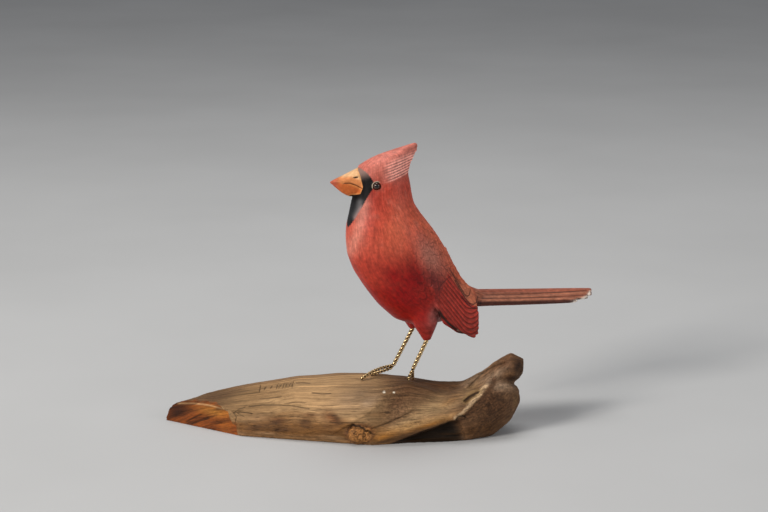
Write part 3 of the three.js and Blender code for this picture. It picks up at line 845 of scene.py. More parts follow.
def brushedColours(regions, chart):  # head, body and back
    x, z, spots = regions["x"], regions["z"], regions["spots"]
    laid = np.stack([x, regions["y"], z], axis=1)
    patches, brushed = (noiseOf(laid, paintNoise[name]) for name in ("patches", "brushed"))
    behind = x - backSlope * (birdSpans["backTop"][0] - z)
    onBack = ramp(behind, *birdSpans["back"]) * fall(z, *birdSpans["backTop"])
    # a painted highlight down the left of the breast
    pale = stroke(spots, *birdStrokes["breastPaleAndHighlight"]) * (0.8 + 0.2 * patches)
    # painted shade on the lower belly and flank
    deepRedShade = blot(spots, *birdPatches["bellyShade"]) + blot(spots, *birdPatches["flankShade"]) * 0.7
    colours = np.tile(chart["neck"], (len(x), 1))
    return layered(colours, chart, (
        ("breast", fall(z, *birdSpans["breast"])),
        ("breastLow", fall(z - 3 * patches, *birdSpans["breastLow"])),
        ("crown", ramp(z, *birdSpans["crown"])),
        ("crest", ramp(z, *birdSpans["crest"])),
        # the crest lightened with a painted highlight
        ("combHighlight", regions["onComb"] * 0.9),
        ("cheek", blot(spots, *birdPatches["cheek"]) * 0.8),
        # painted highlight on the flank
        ("flankHighlight", blot(spots, *birdPatches["flankHighlight"]) * (0.85 + 0.3 * patches)),
        ("breastPaleAndHighlight", pale),
        ("belly", fall(z - 3 * patches, *birdSpans["belly"])),
        ("deepRedShade", deepRedShade * (1 + 0.4 * patches)),
        ("back", onBack * 0.9),
        ("backRed", onBack * ramp(patches, 0.1, 0.9) * 0.6),
        ("breastPaleAndHighlight", ramp(brushed, 0.1, 1.0) * ramp(z, *birdSpans["strokesPale"]) * 0.26),
        ("breastLow", fall(brushed, -1.0, -0.1) * 0.3),
        ("thigh", regions["onThigh"]),
    ))


def wingPainted(colours, regions, chart):
    spots, onWing = regions["spots"], regions["onWing"]
    flight = flightShare(regions)
    onCover = onWing * (1 - flight)
    colours = layered(colours, chart, (
        # the coverts' grey-mauve tone and a painted sheen
        ("coverToneAndSheen", onCover * blot(spots, *birdPatches["coverToneAndSheen"]) * 1.1),
        ("coverLow", onCover * blot(spots, *birdPatches["coverLow"])),
        ("flight", flight),
    ))
    colours = painted(colours, colours * 0.74, flight * ramp(spots[:, 1], *flightLow))
    onInner = onWing * fall(besideLine(spots, innerEdge), -1.0, 0.2) * ramp(spots[:, 1], *innerHigh)
    colours = painted(colours, chart["inner"], onInner * 0.85)
    # painted shadow along the wing's front edge
    colours = painted(colours, colours * 0.6, stroke(spots, *birdStrokes["wingFrontShadow"]) * 0.7)
    # painted shade under the wing's lower edge, with the worn chips in it
    below = ramp(regions["share"], *birdSpans["underWingBelow"])
    inward = fall(regions["out"], *birdSpans["underWingIn"])
    underWingShade = ramp(regions["along"], *birdSpans["underWingFrom"]) * ramp(onWing, 0.0, 0.3)
    underWingShade *= ramp(spots[:, 1], *underHigh) * np.maximum(below, inward)
    notches = stroke(spots, *birdStrokes["notchFront"]) + stroke(spots, *birdStrokes["notchBack"])
    return layered(colours, chart, (("under", underWingShade), ("notch", underWingShade * notches * 0.8)))


def tailPainted(colours, regions, chart, speckle):
    spots, onTail = regions["spots"], regions["onTail"]
    stripes = [stroke(spots, np.add(line, (0, tailPaleDown)), 1.1) for line in tailLines]
    rim = stroke(spots, *birdStrokes["tailRim"])
    ends = fall(regions["fromEnd"], *birdSpans["tailEnds"]) * 0.5
    onTop = fall(regions["blade"], *birdSpans["tailTop"])[:, None]
    colours = painted(colours, chart["tail"] + (chart["tailTop"] - chart["tail"]) * onTop, onTail)
    return layered(colours, chart, (
        # painted shade on the tail's underside
        ("tailUnderShade", onTail * ramp(regions["underTail"], *birdSpans["underTail"]) * 0.85),
        *[("tailPale", onTail * stripe * 0.55) for stripe in stripes],
        ("worn", onTail * np.maximum(rim, ends) * ramp(speckle, -0.7, 0.0)),
    ))


def scalesPainted(colours, regions):  # painted shadow under each small feather's tip, painted highlight on it
    inside, above = scalesOf(regions["way"], regions["around"])
    scaled = scaledShare(regions)
    colours = painted(colours, colours * 0.55, scaled * hill(above, -0.3, 0.5) * 0.75)
    return painted(colours, colours * 1.3 + 0.01, scaled * hill(inside, 0.9, 0.7) * 0.35)


lidForm = {"middle": 3.0, "fade": (0.4, 0.75), "slant": 0.8, "inside": (2.5, 2.8)}


def lidPainted(colours, regions, chart):  # a painted highlight in front and above, dark red behind and below
    nearEye = ramp(regions["z"], *birdSpans["nearEye"])
    onLid = fall(np.abs(regions["fromEye"] - lidForm["middle"]), *lidForm["fade"]) * nearEye
    rise = regions["z"] - birdPose["eyeZ"] - lidForm["slant"] * (regions["x"] - birdPose["eyeX"])
    return layered(colours, chart, (
        ("lidRed", onLid * fall(rise, -0.8, 0.4) * 0.8),
        ("lidHighlight", onLid * ramp(rise, 0.2, 1.6)),
        ("mask", fall(regions["fromEye"], *lidForm["inside"]) * nearEye),
    ))


def featherColours(regions):
    chart = chartOf(birdPaint)
    laid = np.stack([regions["x"], regions["y"], regions["z"]], axis=1)
    speckle = noiseOf(laid, paintNoise["speckle"])
    colours = brushedColours(regions, chart)
    thighBack = blot(regions["spots"], *birdPatches["thighBack"]) * (0.9 + 0.3 * speckle)
    colours = painted(colours, chart["thighBack"], thighBack)
    colours = wingPainted(colours, regions, chart)
    colours = tailPainted(colours, regions, chart, speckle)
    colours = lidPainted(scalesPainted(colours, regions), regions, chart)
    return np.clip(colours * (1 + paintSpeckle * speckle[:, None]), 0.001, 1)


billSpans = {  # in pixels, below the mouth's line or across the picture
    "ridge": (-8.5, -4.5),
    "low": (-0.4, 0.6),
    "lip": (1.2, 0.8),
    "lipFrom": (345, 352),
    "rim": (0.6, 1.5),
    "tip": (334, 342),
}


def billColours(regions):
    spots, chart = regions["spots"], chartOf(birdPaint)
    laid = np.stack([regions["x"], regions["y"], regions["z"]], axis=1)
    speckle = noiseOf(laid, paintNoise["bill"])
    below = besideLine(spots, mouthLine)
    lip = hill(below, *billSpans["lip"]) * ramp(spots[:, 0], *billSpans["lipFrom"])
    colours = layered(np.tile(chart["bill"], (len(spots), 1)), chart, (
        # painted highlight along the top of the upper bill
        ("billRidgeHighlight", fall(below, *billSpans["ridge"])),
        ("billLow", ramp(below, *billSpans["low"])),
        ("billRim", lip * 0.5),
        ("billRim", fall(regions["billIn"], *billSpans["rim"]) * 0.6),
        ("billTip", fall(spots[:, 0], *billSpans["tip"]) * 0.85),
    ))
    return np.clip(colours * (1 + billSpeckle * speckle[:, None]), 0.001, 1)


maskSpans = {"topPale": (172, 183), "slant": 0.35, "slantFrom": 360, "throat": (198, 206)}


def maskColours(regions):
    spots, chart = regions["spots"], chartOf(birdPaint)
    flow = np.stack([regions["x"], regions["z"], regions["y"]], axis=1)
    streak = noiseOf(flow, paintNoise["mask"])
    fromTop = spots[:, 1] + maskSpans["slant"] * (spots[:, 0] - maskSpans["slantFrom"])
    colours = layered(np.tile(chart["mask"], (len(spots), 1)), chart, (
        ("maskTop", fall(fromTop - 0.9 * streak, *maskSpans["topPale"]) * 0.9),
        ("maskThroat", ramp(spots[:, 1], *maskSpans["throat"])),
        # painted sheen down the black throat
        ("maskSheen", stroke(spots, *birdStrokes["throat"]) * 0.8),
        ("maskSheenEdge", stroke(spots, *birdStrokes["throatSheenEdge"]) * 0.9),
    ))
    return lidPainted(colours, regions, chart)


def makeBird():
    piece = copyOfNode("bird", "carved_bird")
    applied(piece, "REMESH", mode="VOXEL", voxel_size=birdForm["cell"] * mm)
    regions = birdRegions(laidOut(pointsOf(piece)))
    softened(piece, softnessOf(regions), birdForm["smoothing"])
    print("bird smoothed")
    regions = birdRegions(laidOut(pointsOf(piece)))
    rise = birdRelief(regions) + birdForm["giveBack"] * softnessOf(regions)
    movePoints(piece, pointsOf(piece) + normalsOf(piece) * rise[:, None])
    thinned(piece, birdForm["faces"])
    print("bird carved")
    return piece


birdFlow = {  # lengths that the brush marks follow, in mm
    "wingLong": 95,
    "wingWide": 30,
    "crestHigh": 17,
    "sidesApart": 8,
    "head": (172, 184),
    "headAcross": 0.3,
}
flightDrawn = {"least": 0.55, "from": 442, "to": 454, "slant": 0.3, "level": 300}  # fainter in front


def paintBird(piece):
    laid = laidOut(pointsOf(piece))
    regions = birdRegions(laid)
    whole = np.ones(len(laid))
    keepValues(piece, "paint", np.column_stack([featherColours(regions), whole]))
    keepValues(piece, "billPaint", np.column_stack([billColours(regions), whole]))
    keepValues(piece, "maskPaint", np.column_stack([maskColours(regions), whole]))
    keepValues(piece, "billIn", regions["billIn"])
    keepValues(piece, "maskIn", regions["maskIn"])
    lineGap, lineDark = thinLines(regions["spots"], birdLines)
    keepValues(piece, "lineGap", lineGap)
    keepValues(piece, "lineDark", lineDark * ramp(np.abs(regions["y"]), 1.0, 2.5))
    side = np.sign(laid[:, 1]) * birdFlow["sidesApart"]
    flow = np.stack([regions["way"], regions["around"], side], axis=1)
    along, share = regions["along"] * birdFlow["wingLong"], regions["share"] * birdFlow["wingWide"]
    wing = np.stack([along, share, side], axis=1)
    flow = np.where(regions["onWing"][:, None] > 0.5, wing, flow)
    flow = np.where(regions["onTail"][:, None] > 0.5, laid, flow)
    keepValues(piece, "flow", flow)
    up = regions["comb"] * birdFlow["crestHigh"]
    across = laid[:, 1] * birdFlow["headAcross"]
    keepValues(piece, "headFlow", np.stack([laid[:, 0], up, across], axis=1))
    keepValues(piece, "onHead", ramp(laid[:, 2], *birdFlow["head"]))
    row, _ = featherTurn(regions)
    keepValues(piece, "featherRow", row)
    x, y = regions["spots"].T
    slanted = x + flightDrawn["slant"] * (flightDrawn["level"] - y)
    drawn = ramp(slanted, flightDrawn["from"], flightDrawn["to"])
    drawn = flightDrawn["least"] + (1 - flightDrawn["least"]) * drawn
    keepValues(piece, "flightLines", flightShare(regions) * drawn)
    keepValues(piece, "bladeRow", regions["blade"])
    keepValues(piece, "onBlades", regions["onTail"] * (regions["blade"] > -0.6))
    keepValues(piece, "combRow", regions["comb"] * birdForm["combLines"])
    keepValues(piece, "onComb", regions["onComb"])
    print("bird painted")


rowLook = {"afterEdge": 0.2, "beforeEdge": 0.84, "highlightAt": 0.64, "highlightHalf": 0.2}


def lineBetween(material, row, mask, dark, light):  # dark line at each edge, and a painted highlight just above it
    part = figure(material, "FRACT", row)
    low = between(material, part, 1, 0, 0.0, rowLook["afterEdge"])
    high = between(material, part, 0, 1, rowLook["beforeEdge"], 1.0)
    edge = figure(material, "MULTIPLY", figure(material, "MAXIMUM", low, high), mask)
    fromPale = figure(material, "ABSOLUTE", figure(material, "SUBTRACT", part, rowLook["highlightAt"]))
    pale = between(material, fromPale, 1, 0, 0.0, rowLook["highlightHalf"])
    shade = figure(material, "MULTIPLY_ADD", edge, -dark, 1.0)
    lift = figure(material, "MULTIPLY", figure(material, "MULTIPLY", pale, mask), light)
    return figure(material, "ADD", shade, lift)


birdLook = {
    "hair": (0.2, 1.9, 1.0),  # brush marks: the higher, the finer, along and across the flow
    "headHair": (0.16, 1.9, 1.0),
    "dabs": (0.17, 0.62, 0.5),
    "mottle": (420, 420, 420),
    "featherDark": 0.56,
    "featherHighlight": 0.65,
    "bladeDark": 0.4,
    "bladeHighlight": 0.2,
    "line": (0.012, 0.004, 0.004, 1),
    "maskFray": 3.0,
    "bump": 0.14,
    "specular": 0.24,
    "maskSpecular": 0.1,
}


def birdMaterial():
    material = newMaterial("oilPaintOnWood")

    def value(name):
        return attribute(material, name).outputs["Fac"]

    def colourOf(name):
        return attribute(material, name).outputs["Color"]
    flow = attribute(material, "flow").outputs["Vector"]
    headFlow = attribute(material, "headFlow").outputs["Vector"]
    place = addNode(material, "ShaderNodeTexCoord").outputs["Object"]
    bodyHair = streaks(material, flow, birdLook["hair"], 5.0, 0.62)
    headHair = streaks(material, headFlow, birdLook["headHair"], 5.0, 0.62)
    toHead = figure(material, "SUBTRACT", headHair, bodyHair)
    hair = figure(material, "MULTIPLY_ADD", value("onHead"), toHead, bodyHair)
    mottle = streaks(material, place, birdLook["mottle"], 4.0)
    dabs = streaks(material, flow, birdLook["dabs"], 3.0, 0.6)
    # across the crest's lines: lighter on each line, a painted highlight, and darker between them, a painted
    # shade
    wave = figure(material, "COSINE", figure(material, "MULTIPLY", value("combRow"), 2 * math.pi))
    wave = figure(material, "MULTIPLY", wave, value("onComb"))
    shade = between(material, hair, 0.84, 1.16, 0.28, 0.72)
    for other in (between(material, mottle, 0.8, 1.2, 0.3, 0.7),
                  between(material, dabs, 0.78, 1.22, 0.32, 0.68),
                  lineBetween(material, value("featherRow"), value("flightLines"),
                              birdLook["featherDark"], birdLook["featherHighlight"]),
                  lineBetween(material, value("bladeRow"), value("onBlades"),
                              birdLook["bladeDark"], birdLook["bladeHighlight"]),
                  between(material, wave, 0.55, 1.45, -1.0, 1.0)):
        shade = figure(material, "MULTIPLY", shade, other)
    colour = scaledColour(material, colourOf("paint"), shade)
    frayed = figure(material, "SUBTRACT", value("maskIn"), birdLook["maskFray"] / 2)
    frayed = figure(material, "MULTIPLY_ADD", headHair, birdLook["maskFray"], frayed)
    onMask = between(material, frayed, 0, 1, -0.5, 0.5)
    colour = mixedColour(material, onMask, colour, colourOf("maskPaint"))
    onBill = between(material, value("billIn"), 0, 1, -0.3, 0.3)
    billShade = between(material, mottle, 0.84, 1.14, 0.3, 0.7)
    billPaint = scaledColour(material, colourOf("billPaint"), billShade)
    colour = mixedColour(material, onBill, colour, billPaint)
    drawn = between(material, figure(material, "ABSOLUTE", value("lineGap")), 1, 0, 0.5, 1.5)
    drawn = figure(material, "MULTIPLY", drawn, value("lineDark"))
    colour = mixedColour(material, drawn, colour, birdLook["line"])
    roughness = figure(material, "MULTIPLY_ADD", hair, 0.2, 0.4)
    roughness = figure(material, "MULTIPLY_ADD", onBill, -0.08, roughness)
    height = figure(material, "MULTIPLY_ADD", mottle, 0.4, hair)
    height = figure(material, "MULTIPLY_ADD", wave, 1.6, height)
    height = figure(material, "MULTIPLY_ADD", drawn, -1.5, height)
    skinOf(material, Base_Color=colour, Roughness=roughness)
    skinOf(material, Normal=bumped(material, height, birdLook["bump"] * mm, 0.6))
    skinOf(material, Specular_IOR_Level=between(material, onMask, birdLook["specular"],
                                                birdLook["maskSpecular"]))
    return material


birdPiece = makeBird()
paintBird(birdPiece)
finished(birdPiece, "bird", birdMaterial())


# Eyes: glass balls, dark brown round a black pupil

eyeForm = {
    "segments": 48,
    "rings": 32,
    "pupil": 1.35,
    "iris": 2.2,
    "soft": 0.3,  # how far the pupil's and the iris's edges fade
    "brown": (66, 34, 18),
    "black": (0.004, 0.003, 0.003, 1),
}


def eyeMaterial(name, middle, outward):
    material = newMaterial(name)
    place = addNode(material, "ShaderNodeTexCoord").outputs["Object"]
    arm = addNode(material, "ShaderNodeVectorMath", {0: place, 1: middle * mm},
                  operation="SUBTRACT").outputs[0]
    facing = addNode(material, "ShaderNodeVectorMath", {0: arm, 1: outward}, operation="DOT_PRODUCT")
    long = addNode(material, "ShaderNodeVectorMath", {0: arm}, operation="LENGTH")
    squared = figure(material, "SUBTRACT", figure(material, "POWER", long.outputs["Value"], 2.0),
                     figure(material, "POWER", facing.outputs["Value"], 2.0))
    off = figure(material, "SQRT", figure(material, "MAXIMUM", squared, 0.0))
    pupil, iris, soft = (eyeForm[part] * mm for part in ("pupil", "iris", "soft"))
    ring = figure(material, "MULTIPLY", between(material, off, 0, 1, pupil, pupil + soft),
                  between(material, off, 1, 0, iris, iris + soft))
    fibres = streaks(material, place, (2500, 2500, 2500), 3.0)
    ring = figure(material, "MULTIPLY", ring, between(material, fibres, 0.5, 1.3))
    colour = mixedColour(material, ring, eyeForm["black"], (*tone(*eyeForm["brown"]), 1))
    skinOf(material, Base_Color=colour, Roughness=0.05, Specular_IOR_Level=0.5)
    skinOf(material, Coat_Weight=0.3, Coat_Roughness=0.02)
    return material


for eyeName, middle in eyePlaces.items():
    eyeLow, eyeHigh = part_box(eyeName)
    radius = (eyeHigh[2] - eyeLow[2]) / 2
    clearPick()
    bpy.ops.mesh.primitive_uv_sphere_add(segments=eyeForm["segments"], ring_count=eyeForm["rings"],
                                         radius=radius, location=Vector(middle) * mm)
    eyePiece = bpy.context.object
    eyePiece.name = eyeName.replace("eye", "glass_eye")
    bpy.ops.object.transform_apply(location=True, rotation=True, scale=True)
    outward = Vector(middle - eyeMiddle).normalized()
    glass = eyeMaterial(eyePiece.name + "_glass", Vector(middle), outward)
    finished(eyePiece, eyeName, glass)
print("eyes made")


# Driftwood: copied from the solid, smoothed, then weathered along its grain

logForm = {
    "cell": 0.62,
    "faces": 192000,
    "smoothing": 130,
    "giveBack": 0.4,  # gives back what the smoothing took
    "waveDepth": 0.8,
    "grainDepth": 0.34,
    "fineDepth": 0.14,
    "dentDepth": 0.35,
    "furrowDepth": 0.5,
    "sawDepth": 0.12,
    "top": [(-168, 11.5), (-98, 24), (-62, 31), (-30, 34), (20, 36), (50, 32), (66, 37), (80, 46), (92, 55),
            (106, 55)],
    "under": [(-170, 0), (58, 0), (80, 2), (95, 12), (106, 24)],
    "stations": (-160, 100, 14),  # from, to and how many, where the front and back are looked up
    "stationHalf": 20,
    "grainWide": 70,
    "grainHigh": 34,
    "cutLow": (-156, 10),
    "cutHigh": (-107, -21),
    "cutTilt": 16,
    "cutLong": 58,
    "cutBefore": (-103, -98),  # the sawn end lies before this
    "knot": (-15, -43.5, 7),
    "knotHalves": (11, 6.5, 9.5),
}
logSpans = {  # in mm along or up the log, or out of the sawn end's plane
    "bulb": (20, 60),
    "hornAlong": (82, 94),
    "hornUp": (32, 38),
    "cutEdge": (1.2, 6),
    "cutEdgeTo": (-100, -95),
    "cutSkin": (0.7, 1.2),
    "aboveGround": (0.5, 5),
    "weathered": (0.5, 3),
    "dentsFrom": (30, 60),
    "pitsFrom": (40, 62),
    "hornBackAlong": (60, 88),
    "hornBackUp": (34, 46),
    "bulbBackAlong": (56, 80),
    "bulbBackUp": (34, 42),
}
logSoft = {"bulb": 0.3, "horn": 0.93, "cut": 0.97, "knot": 0.1, "ground": 0.02}
logOffset = np.array([0.945, 7.709, 0])  # from the shared frame to the one the log's numbers are in
woodNoise = {  # size of the noise, along, across and up where the grain pulls it out, and its seed
    "waves": ((46, 15, 13), 5),
    "ribs": ((60, 2.6, 2.6), 8),
    "furrows": ((70, 3.4, 3.4), 14),
    "fine": ((30, 1.4, 1.4), 21),
    "dents": (7, 27),
    "saw": ((3, 3, 0.9), 33),
    "patches": ((26, 9, 7), 31),
    "streak": ((48, 2.2, 1.6), 37),
    "speckle": (1.8, 41),
    "mottle": (5.0, 47),
    "cutPatches": (9, 51),
}

# Places on the picture
foldLine = [(470, 385.5), (477, 378.5), (484, 371.5), (493, 366.8), (503, 363.4)]
logCracks = [  # line, half width in pixels, darkness, depth in mm
    ([(351, 426.4), (353.4, 424.8), (356.2, 426.2), (359, 425.8), (361.4, 427.8), (363.6, 428), (365.6, 431),
      (368.4, 430.8), (371.4, 433.2)], 0.9, 0.95, 1.5),
    ([(352, 425), (348.6, 428), (347.4, 432), (348.6, 436.4)], 0.8, 0.5, 0.7),
    ([(372, 428.6), (385, 424), (400, 417.4), (414, 410)], 0.6, 0.55, 0.7),
    ([(250, 406.4), (262, 405), (278, 405), (291, 405.6), (300, 407.2), (309, 408.8)], 0.6, 0.6, 0.4),
    ([(312.5, 393), (322, 393.8), (330.7, 393.4)], 0.5, 0.75, 0.4),
    ([(234.6, 412.2), (241, 412), (251.9, 413.4)], 0.5, 0.75, 0.4),
    ([(235, 411.6), (239.6, 409), (245, 407.4)], 0.45, 0.6, 0.3),
    ([(233.4, 412.6), (236.4, 417), (235.6, 421)], 0.45, 0.6, 0.3),
    ([(238, 413.6), (243.6, 416.4)], 0.4, 0.5, 0.3),
    (foldLine, 0.7, 0.5, 0.4),
    ([(187, 421.5), (194, 417.5), (201, 414.5)], 0.7, 0.7, 0.3),
    ([(192, 424), (199, 421), (208, 418.6)], 0.9, 0.7, 0.3),
    ([(203, 427), (212, 424.6), (222, 423)], 0.6, 0.45, 0.2),
    ([(175, 416), (184, 411.5), (192, 409.5)], 0.6, 0.45, 0.2),
    ([(205, 416), (213, 413.4), (221, 412.4)], 0.5, 0.3, 0.2),
    ([(456.4, 419.4), (458.2, 416.6), (462.6, 415.6), (466, 417.4)], 0.6, 0.8, 0.6),
    ([(464.5, 400.6), (470, 396.4), (478, 392.6)], 0.8, 0.75, 0.5),
    ([(260, 398.6), (281, 397)], 0.4, 0.4, 0.3),
    ([(330, 422), (343, 423.6)], 0.4, 0.5, 0.3),
]
undercutOutline = [(384, 446), (396, 441), (408, 436.4), (420, 431.6), (436, 426), (450, 421), (457.6, 419),
                   (463, 425), (466, 434), (466, 452), (384, 452)]
hollowOutline = [(463, 400.6), (468.4, 395.4), (475.6, 391.4), (481, 390.4), (478.4, 393.6), (471.6, 397.6),
                 (465.6, 402.4)]
ridgeLine = [(456.4, 418.4), (464.3, 413.4), (472.9, 405), (481.4, 396.4), (487.6, 387), (491, 381)]
stepLine = [(350, 424), (362, 417), (375, 408), (384, 399), (391, 391)]
cutRimLine = [(178, 403.4), (192, 403.2), (203, 404.2), (213, 406), (222, 408.8)]
cutSideLine = [(238, 434), (236, 426), (233, 423.5), (229.5, 417), (228.5, 411.5), (224, 409.5), (219, 404)]
rimLine = [(380, 438), (394.3, 433), (408, 430), (420, 426), (436, 421), (450, 416.6), (457, 414.6)]
knotSpot = {"middle": (360, 434.5), "halves": (12.5, 8.5), "edge": (0.92, 1.05), "stainAndShade": (1.0, 1.45)}
logCarving = {  # depths and heights in mm
    "undercut": 3.2,
    "rim": 1.5,
    "hollow": 2.2,
    "ridge": 1.7,
    "behindRidge": 1.1,
    "step": 0.9,
    "foldLip": 0.9,
    "fold": 1.1,
    "writing": 0.3,
}
logDents = [  # middle on the picture, half widths, turn in degrees and depth
    ((474, 386), (7, 3), -30, 0.9),
    ((440, 398), (18, 6), -24, 1.0),
]
glintSpecks = (((384, 392), 1.3), ((394, 392.4), 1.0))  # two painted glints on the log's top: middle and half width
writing = {
    "places": (260, 265.2, 271.4, 277.2, 280.4, 283.6, 286.6, 289.8, 292.8),
    "talls": (5.2, 2.2, 1.5, 3.2, 2.2, 4.0, 3.2, 2.4, 4.2),
    "height": 388.8,
    "rise": -0.13,
    "flat": [(296.5, 382.9), (303, 382.7), (310, 383.3)],
    "half": 0.5,
}

woodTones = {
    "top": (146, 114, 78),
    "topLight": (182, 146, 104),
    "topDark": (96, 70, 48),
    "front": (118, 80, 42),
    "frontLight": (142, 110, 78),
    # dark brown for real stains, and for painted shade along the top edge, in the hollow and on the bulb
    "stainAndShade": (72, 46, 26),
    "redStain": (108, 66, 36),
    "grey": (136, 112, 88),
    "greyLight": (176, 150, 124),
    "middle": (112, 82, 58),
    "tan": (174, 142, 102),
    "rim": (176, 136, 88),
    # near black in the undercut: painted shadow, and the warm brown in it: painted bounce light
    "undercut": (20, 13, 6),
    "undercutBounce": (52, 32, 12),
    # dark brown on the bulb, which is turned from the light: painted shade
    "bulb": (84, 56, 36),
    # warm ochre low on the bulb: painted reflected light
    "bulbWarmHighlight": (84, 52, 22),
    # pale along the ridge over the bulb: painted highlight
    "ridge": (196, 166, 130),
    "hollowRim": (150, 122, 78),
    "horn": (98, 65, 42),
    "hornLight": (150, 124, 100),
    # dark brown at the horn's end, and painted shade in the notch under the horn
    "hornDarkAndShade": (48, 30, 20),
    "strip": (98, 64, 40),
    # ochre: a wood tone, and painted reflected light at the undercut's foot
    "ochre": (158, 104, 44),
    "knot": (158, 108, 60),
    "knotDark": (60, 34, 16),
    "cut": (116, 58, 18),
    "cutDark": (40, 18, 8),
    "cutLight": (140, 78, 24),
    # pale line along the sawn end's top edge: painted highlight
    "cutRimHighlight": (206, 168, 120),
    "cutGold": (168, 110, 44),
    # near white: painted glints
    "speckGlint": (250, 242, 222),
    "back": (122, 92, 64),
}


woodMarks = [  # tone, middle on the picture, half widths, turn in degrees and strength
    ("topLight", (318, 386), (36, 7), -4, 0.6), ("topLight", (282, 401), (26, 3.4), -2, 0.9),
    ("grey", (356, 400), (24, 12), -16, 0.7), ("greyLight", (370, 402), (9, 4), -30, 0.5),
    ("topDark", (212, 398), (20, 3.2), -12, 0.7), ("topDark", (234, 391.5), (16, 3.4), -16, 0.5),
    ("topDark", (213, 404), (12, 1.2), 3, 0.6), ("top", (244, 411), (9, 6), 0, 0.7),
    ("stainAndShade", (277, 422), (9, 4), -5, 0.95), ("stainAndShade", (281, 429.4), (11, 3), 4, 0.95),
    ("stainAndShade", (256, 427.4), (10, 3.4), -6, 0.85), ("stainAndShade", (305, 422.6), (7, 4.4), 0, 0.9),
    ("stainAndShade", (308, 428), (7, 1.6), 0, 0.5), ("stainAndShade", (326, 427), (6, 2), 0, 0.5),
    ("stainAndShade", (331, 432), (10, 1.3), 3, 0.5), ("stainAndShade", (336, 422), (5, 3), 35, 0.6),
    ("redStain", (331, 417), (8.5, 5.6), 25, 1.0), ("stainAndShade", (337, 419), (5, 3), 30, 0.7),
    ("redStain", (311, 415), (8, 2.2), 0, 0.5),
    ("redStain", (276, 419), (8, 2), 0, 0.4), ("frontLight", (266, 433.4), (11, 1.3), 4, 0.8),
    ("frontLight", (333, 437.4), (13, 2), 5, 0.9), ("frontLight", (256, 418), (13, 5), -4, 0.6),
    ("tan", (437, 406), (23, 9), -20, 0.95), ("tan", (408, 421), (22, 4), -22, 0.7),
    ("tan", (470, 388), (12, 6), -35, 0.7), ("hornLight", (466, 384), (8, 3), -20, 0.9),
    ("hornLight", (474, 379), (9, 2.2), -38, 0.8), ("ochre", (450, 401), (10, 3), -30, 0.35),
    ("strip", (437, 384), (24, 5), 5, 0.9), ("strip", (398, 400), (16, 5), -36, 0.35),
    # painted shadow along the log's top edge
    ("stainAndShade", (435, 380), (24, 1.8), 5, 0.9),
    ("rim", (440, 419), (20, 3.6), -16, 0.85), ("rim", (405, 428), (26, 4.4), -15, 0.9),
    # the first ochre mark, at the undercut's foot, is painted reflected light
    ("ochre", (385, 436), (16, 4.5), -12, 0.85), ("ochre", (428, 425.5), (24, 2.2), -18, 0.7),
    ("middle", (452, 392), (10, 6), -30, 0.4), ("cut", (235.2, 426.5), (1.5, 5), -4, 0.8),
    # the bulb mark is painted shade
    ("bulb", (492, 405), (30, 20), -40, 1.0), ("hornLight", (500, 385), (14, 5.5), 8, 0.9),
    # the warm marks low on the bulb are painted reflected light
    ("rim", (515.4, 400), (2.4, 8), 5, 0.25), ("bulbWarmHighlight", (487, 429), (18, 7), -24, 0.7),
    # a warm mark of painted reflected light, then painted shade on the bulb
    ("bulbWarmHighlight", (470, 432), (7, 6), 0, 0.6), ("stainAndShade", (493, 404), (13, 8), -40, 0.45),
    ("horn", (504, 366), (20, 10), -35, 0.9), ("hornLight", (486, 366), (16, 2.4), -38, 0.7),
    ("hornLight", (494, 375.4), (13, 4.4), -30, 0.85),
    # the horn's dark end, then painted shade in the notch under it
    ("hornDarkAndShade", (518.5, 366), (5.5, 11), 15, 0.95), ("hornDarkAndShade", (511, 378.5), (7, 3), -20, 0.9),
]
pitMarks = [  # where the wood is pitted: the step, the bulb and the knot
    ((398, 404), (22, 24), -36, 0.45),
    ((492, 406), (30, 20), -40, 0.5),
    ((361, 435), (12, 8), 0, 1.0),
]
cutMarks = [
    ("cutDark", (177, 410), (13, 8), -10, 0.9),
    ("cutGold", (214, 411.4), (15, 4.6), 10, 0.9),
]


def cutGap(points):  # distance out of the sawn end's plane, in mm
    low, high = np.array(logForm["cutLow"]), np.array(logForm["cutHigh"])
    run = (high - low) / np.linalg.norm(high - low)
    tilt = math.radians(logForm["cutTilt"])
    out = np.array([run[1] * math.cos(tilt), -run[0] * math.cos(tilt), math.sin(tilt)])
    return (points - [low[0], low[1], 0]) @ out


def cutShare(points):  # 1 on the sawn end
    onPlane = fall(np.abs(cutGap(points)), *logSpans["cutSkin"])
    return onPlane * fall(points[:, 0], *logForm["cutBefore"])


def sidesOf(node):  # where the log's front and back are, at stations along it
    stations = np.linspace(*logForm["stations"])
    points = pointsOf(node) + logOffset
    slices = [points[np.abs(points[:, 0] - x) < logForm["stationHalf"], 1] for x in stations]
    return stations, [part.min() for part in slices], [part.max() for part in slices]


logNode = copyOfNode("driftwood_base", "driftwood")
logSides = sidesOf(logNode)


def grainPlace(points):  # the grain runs along X, follows the sides and the rise to the horn
    stations, fronts, backs = logSides
    high = np.interp(points[:, 0], *zip(*logForm["top"]))
    low = np.interp(points[:, 0], *zip(*logForm["under"]))
    front = np.interp(points[:, 0], stations, fronts)
    back = np.interp(points[:, 0], stations, backs)
    across = (points[:, 1] - front) / (back - front) * logForm["grainWide"]
    up = (points[:, 2] - low) / (high - low) * logForm["grainHigh"]
    return np.stack([points[:, 0], across, up], axis=1)


def writingStrokes():  # a row of plain slanting strokes in place of the writing
    strokes = [writing["flat"]]
    for x, tall in zip(writing["places"], writing["talls"]):
        y = writing["height"] + writing["rise"] * (x - writing["places"][0])
        strokes.append([(x + 0.6, y - tall / 2), (x - 0.6, y + tall / 2)])
    return strokes


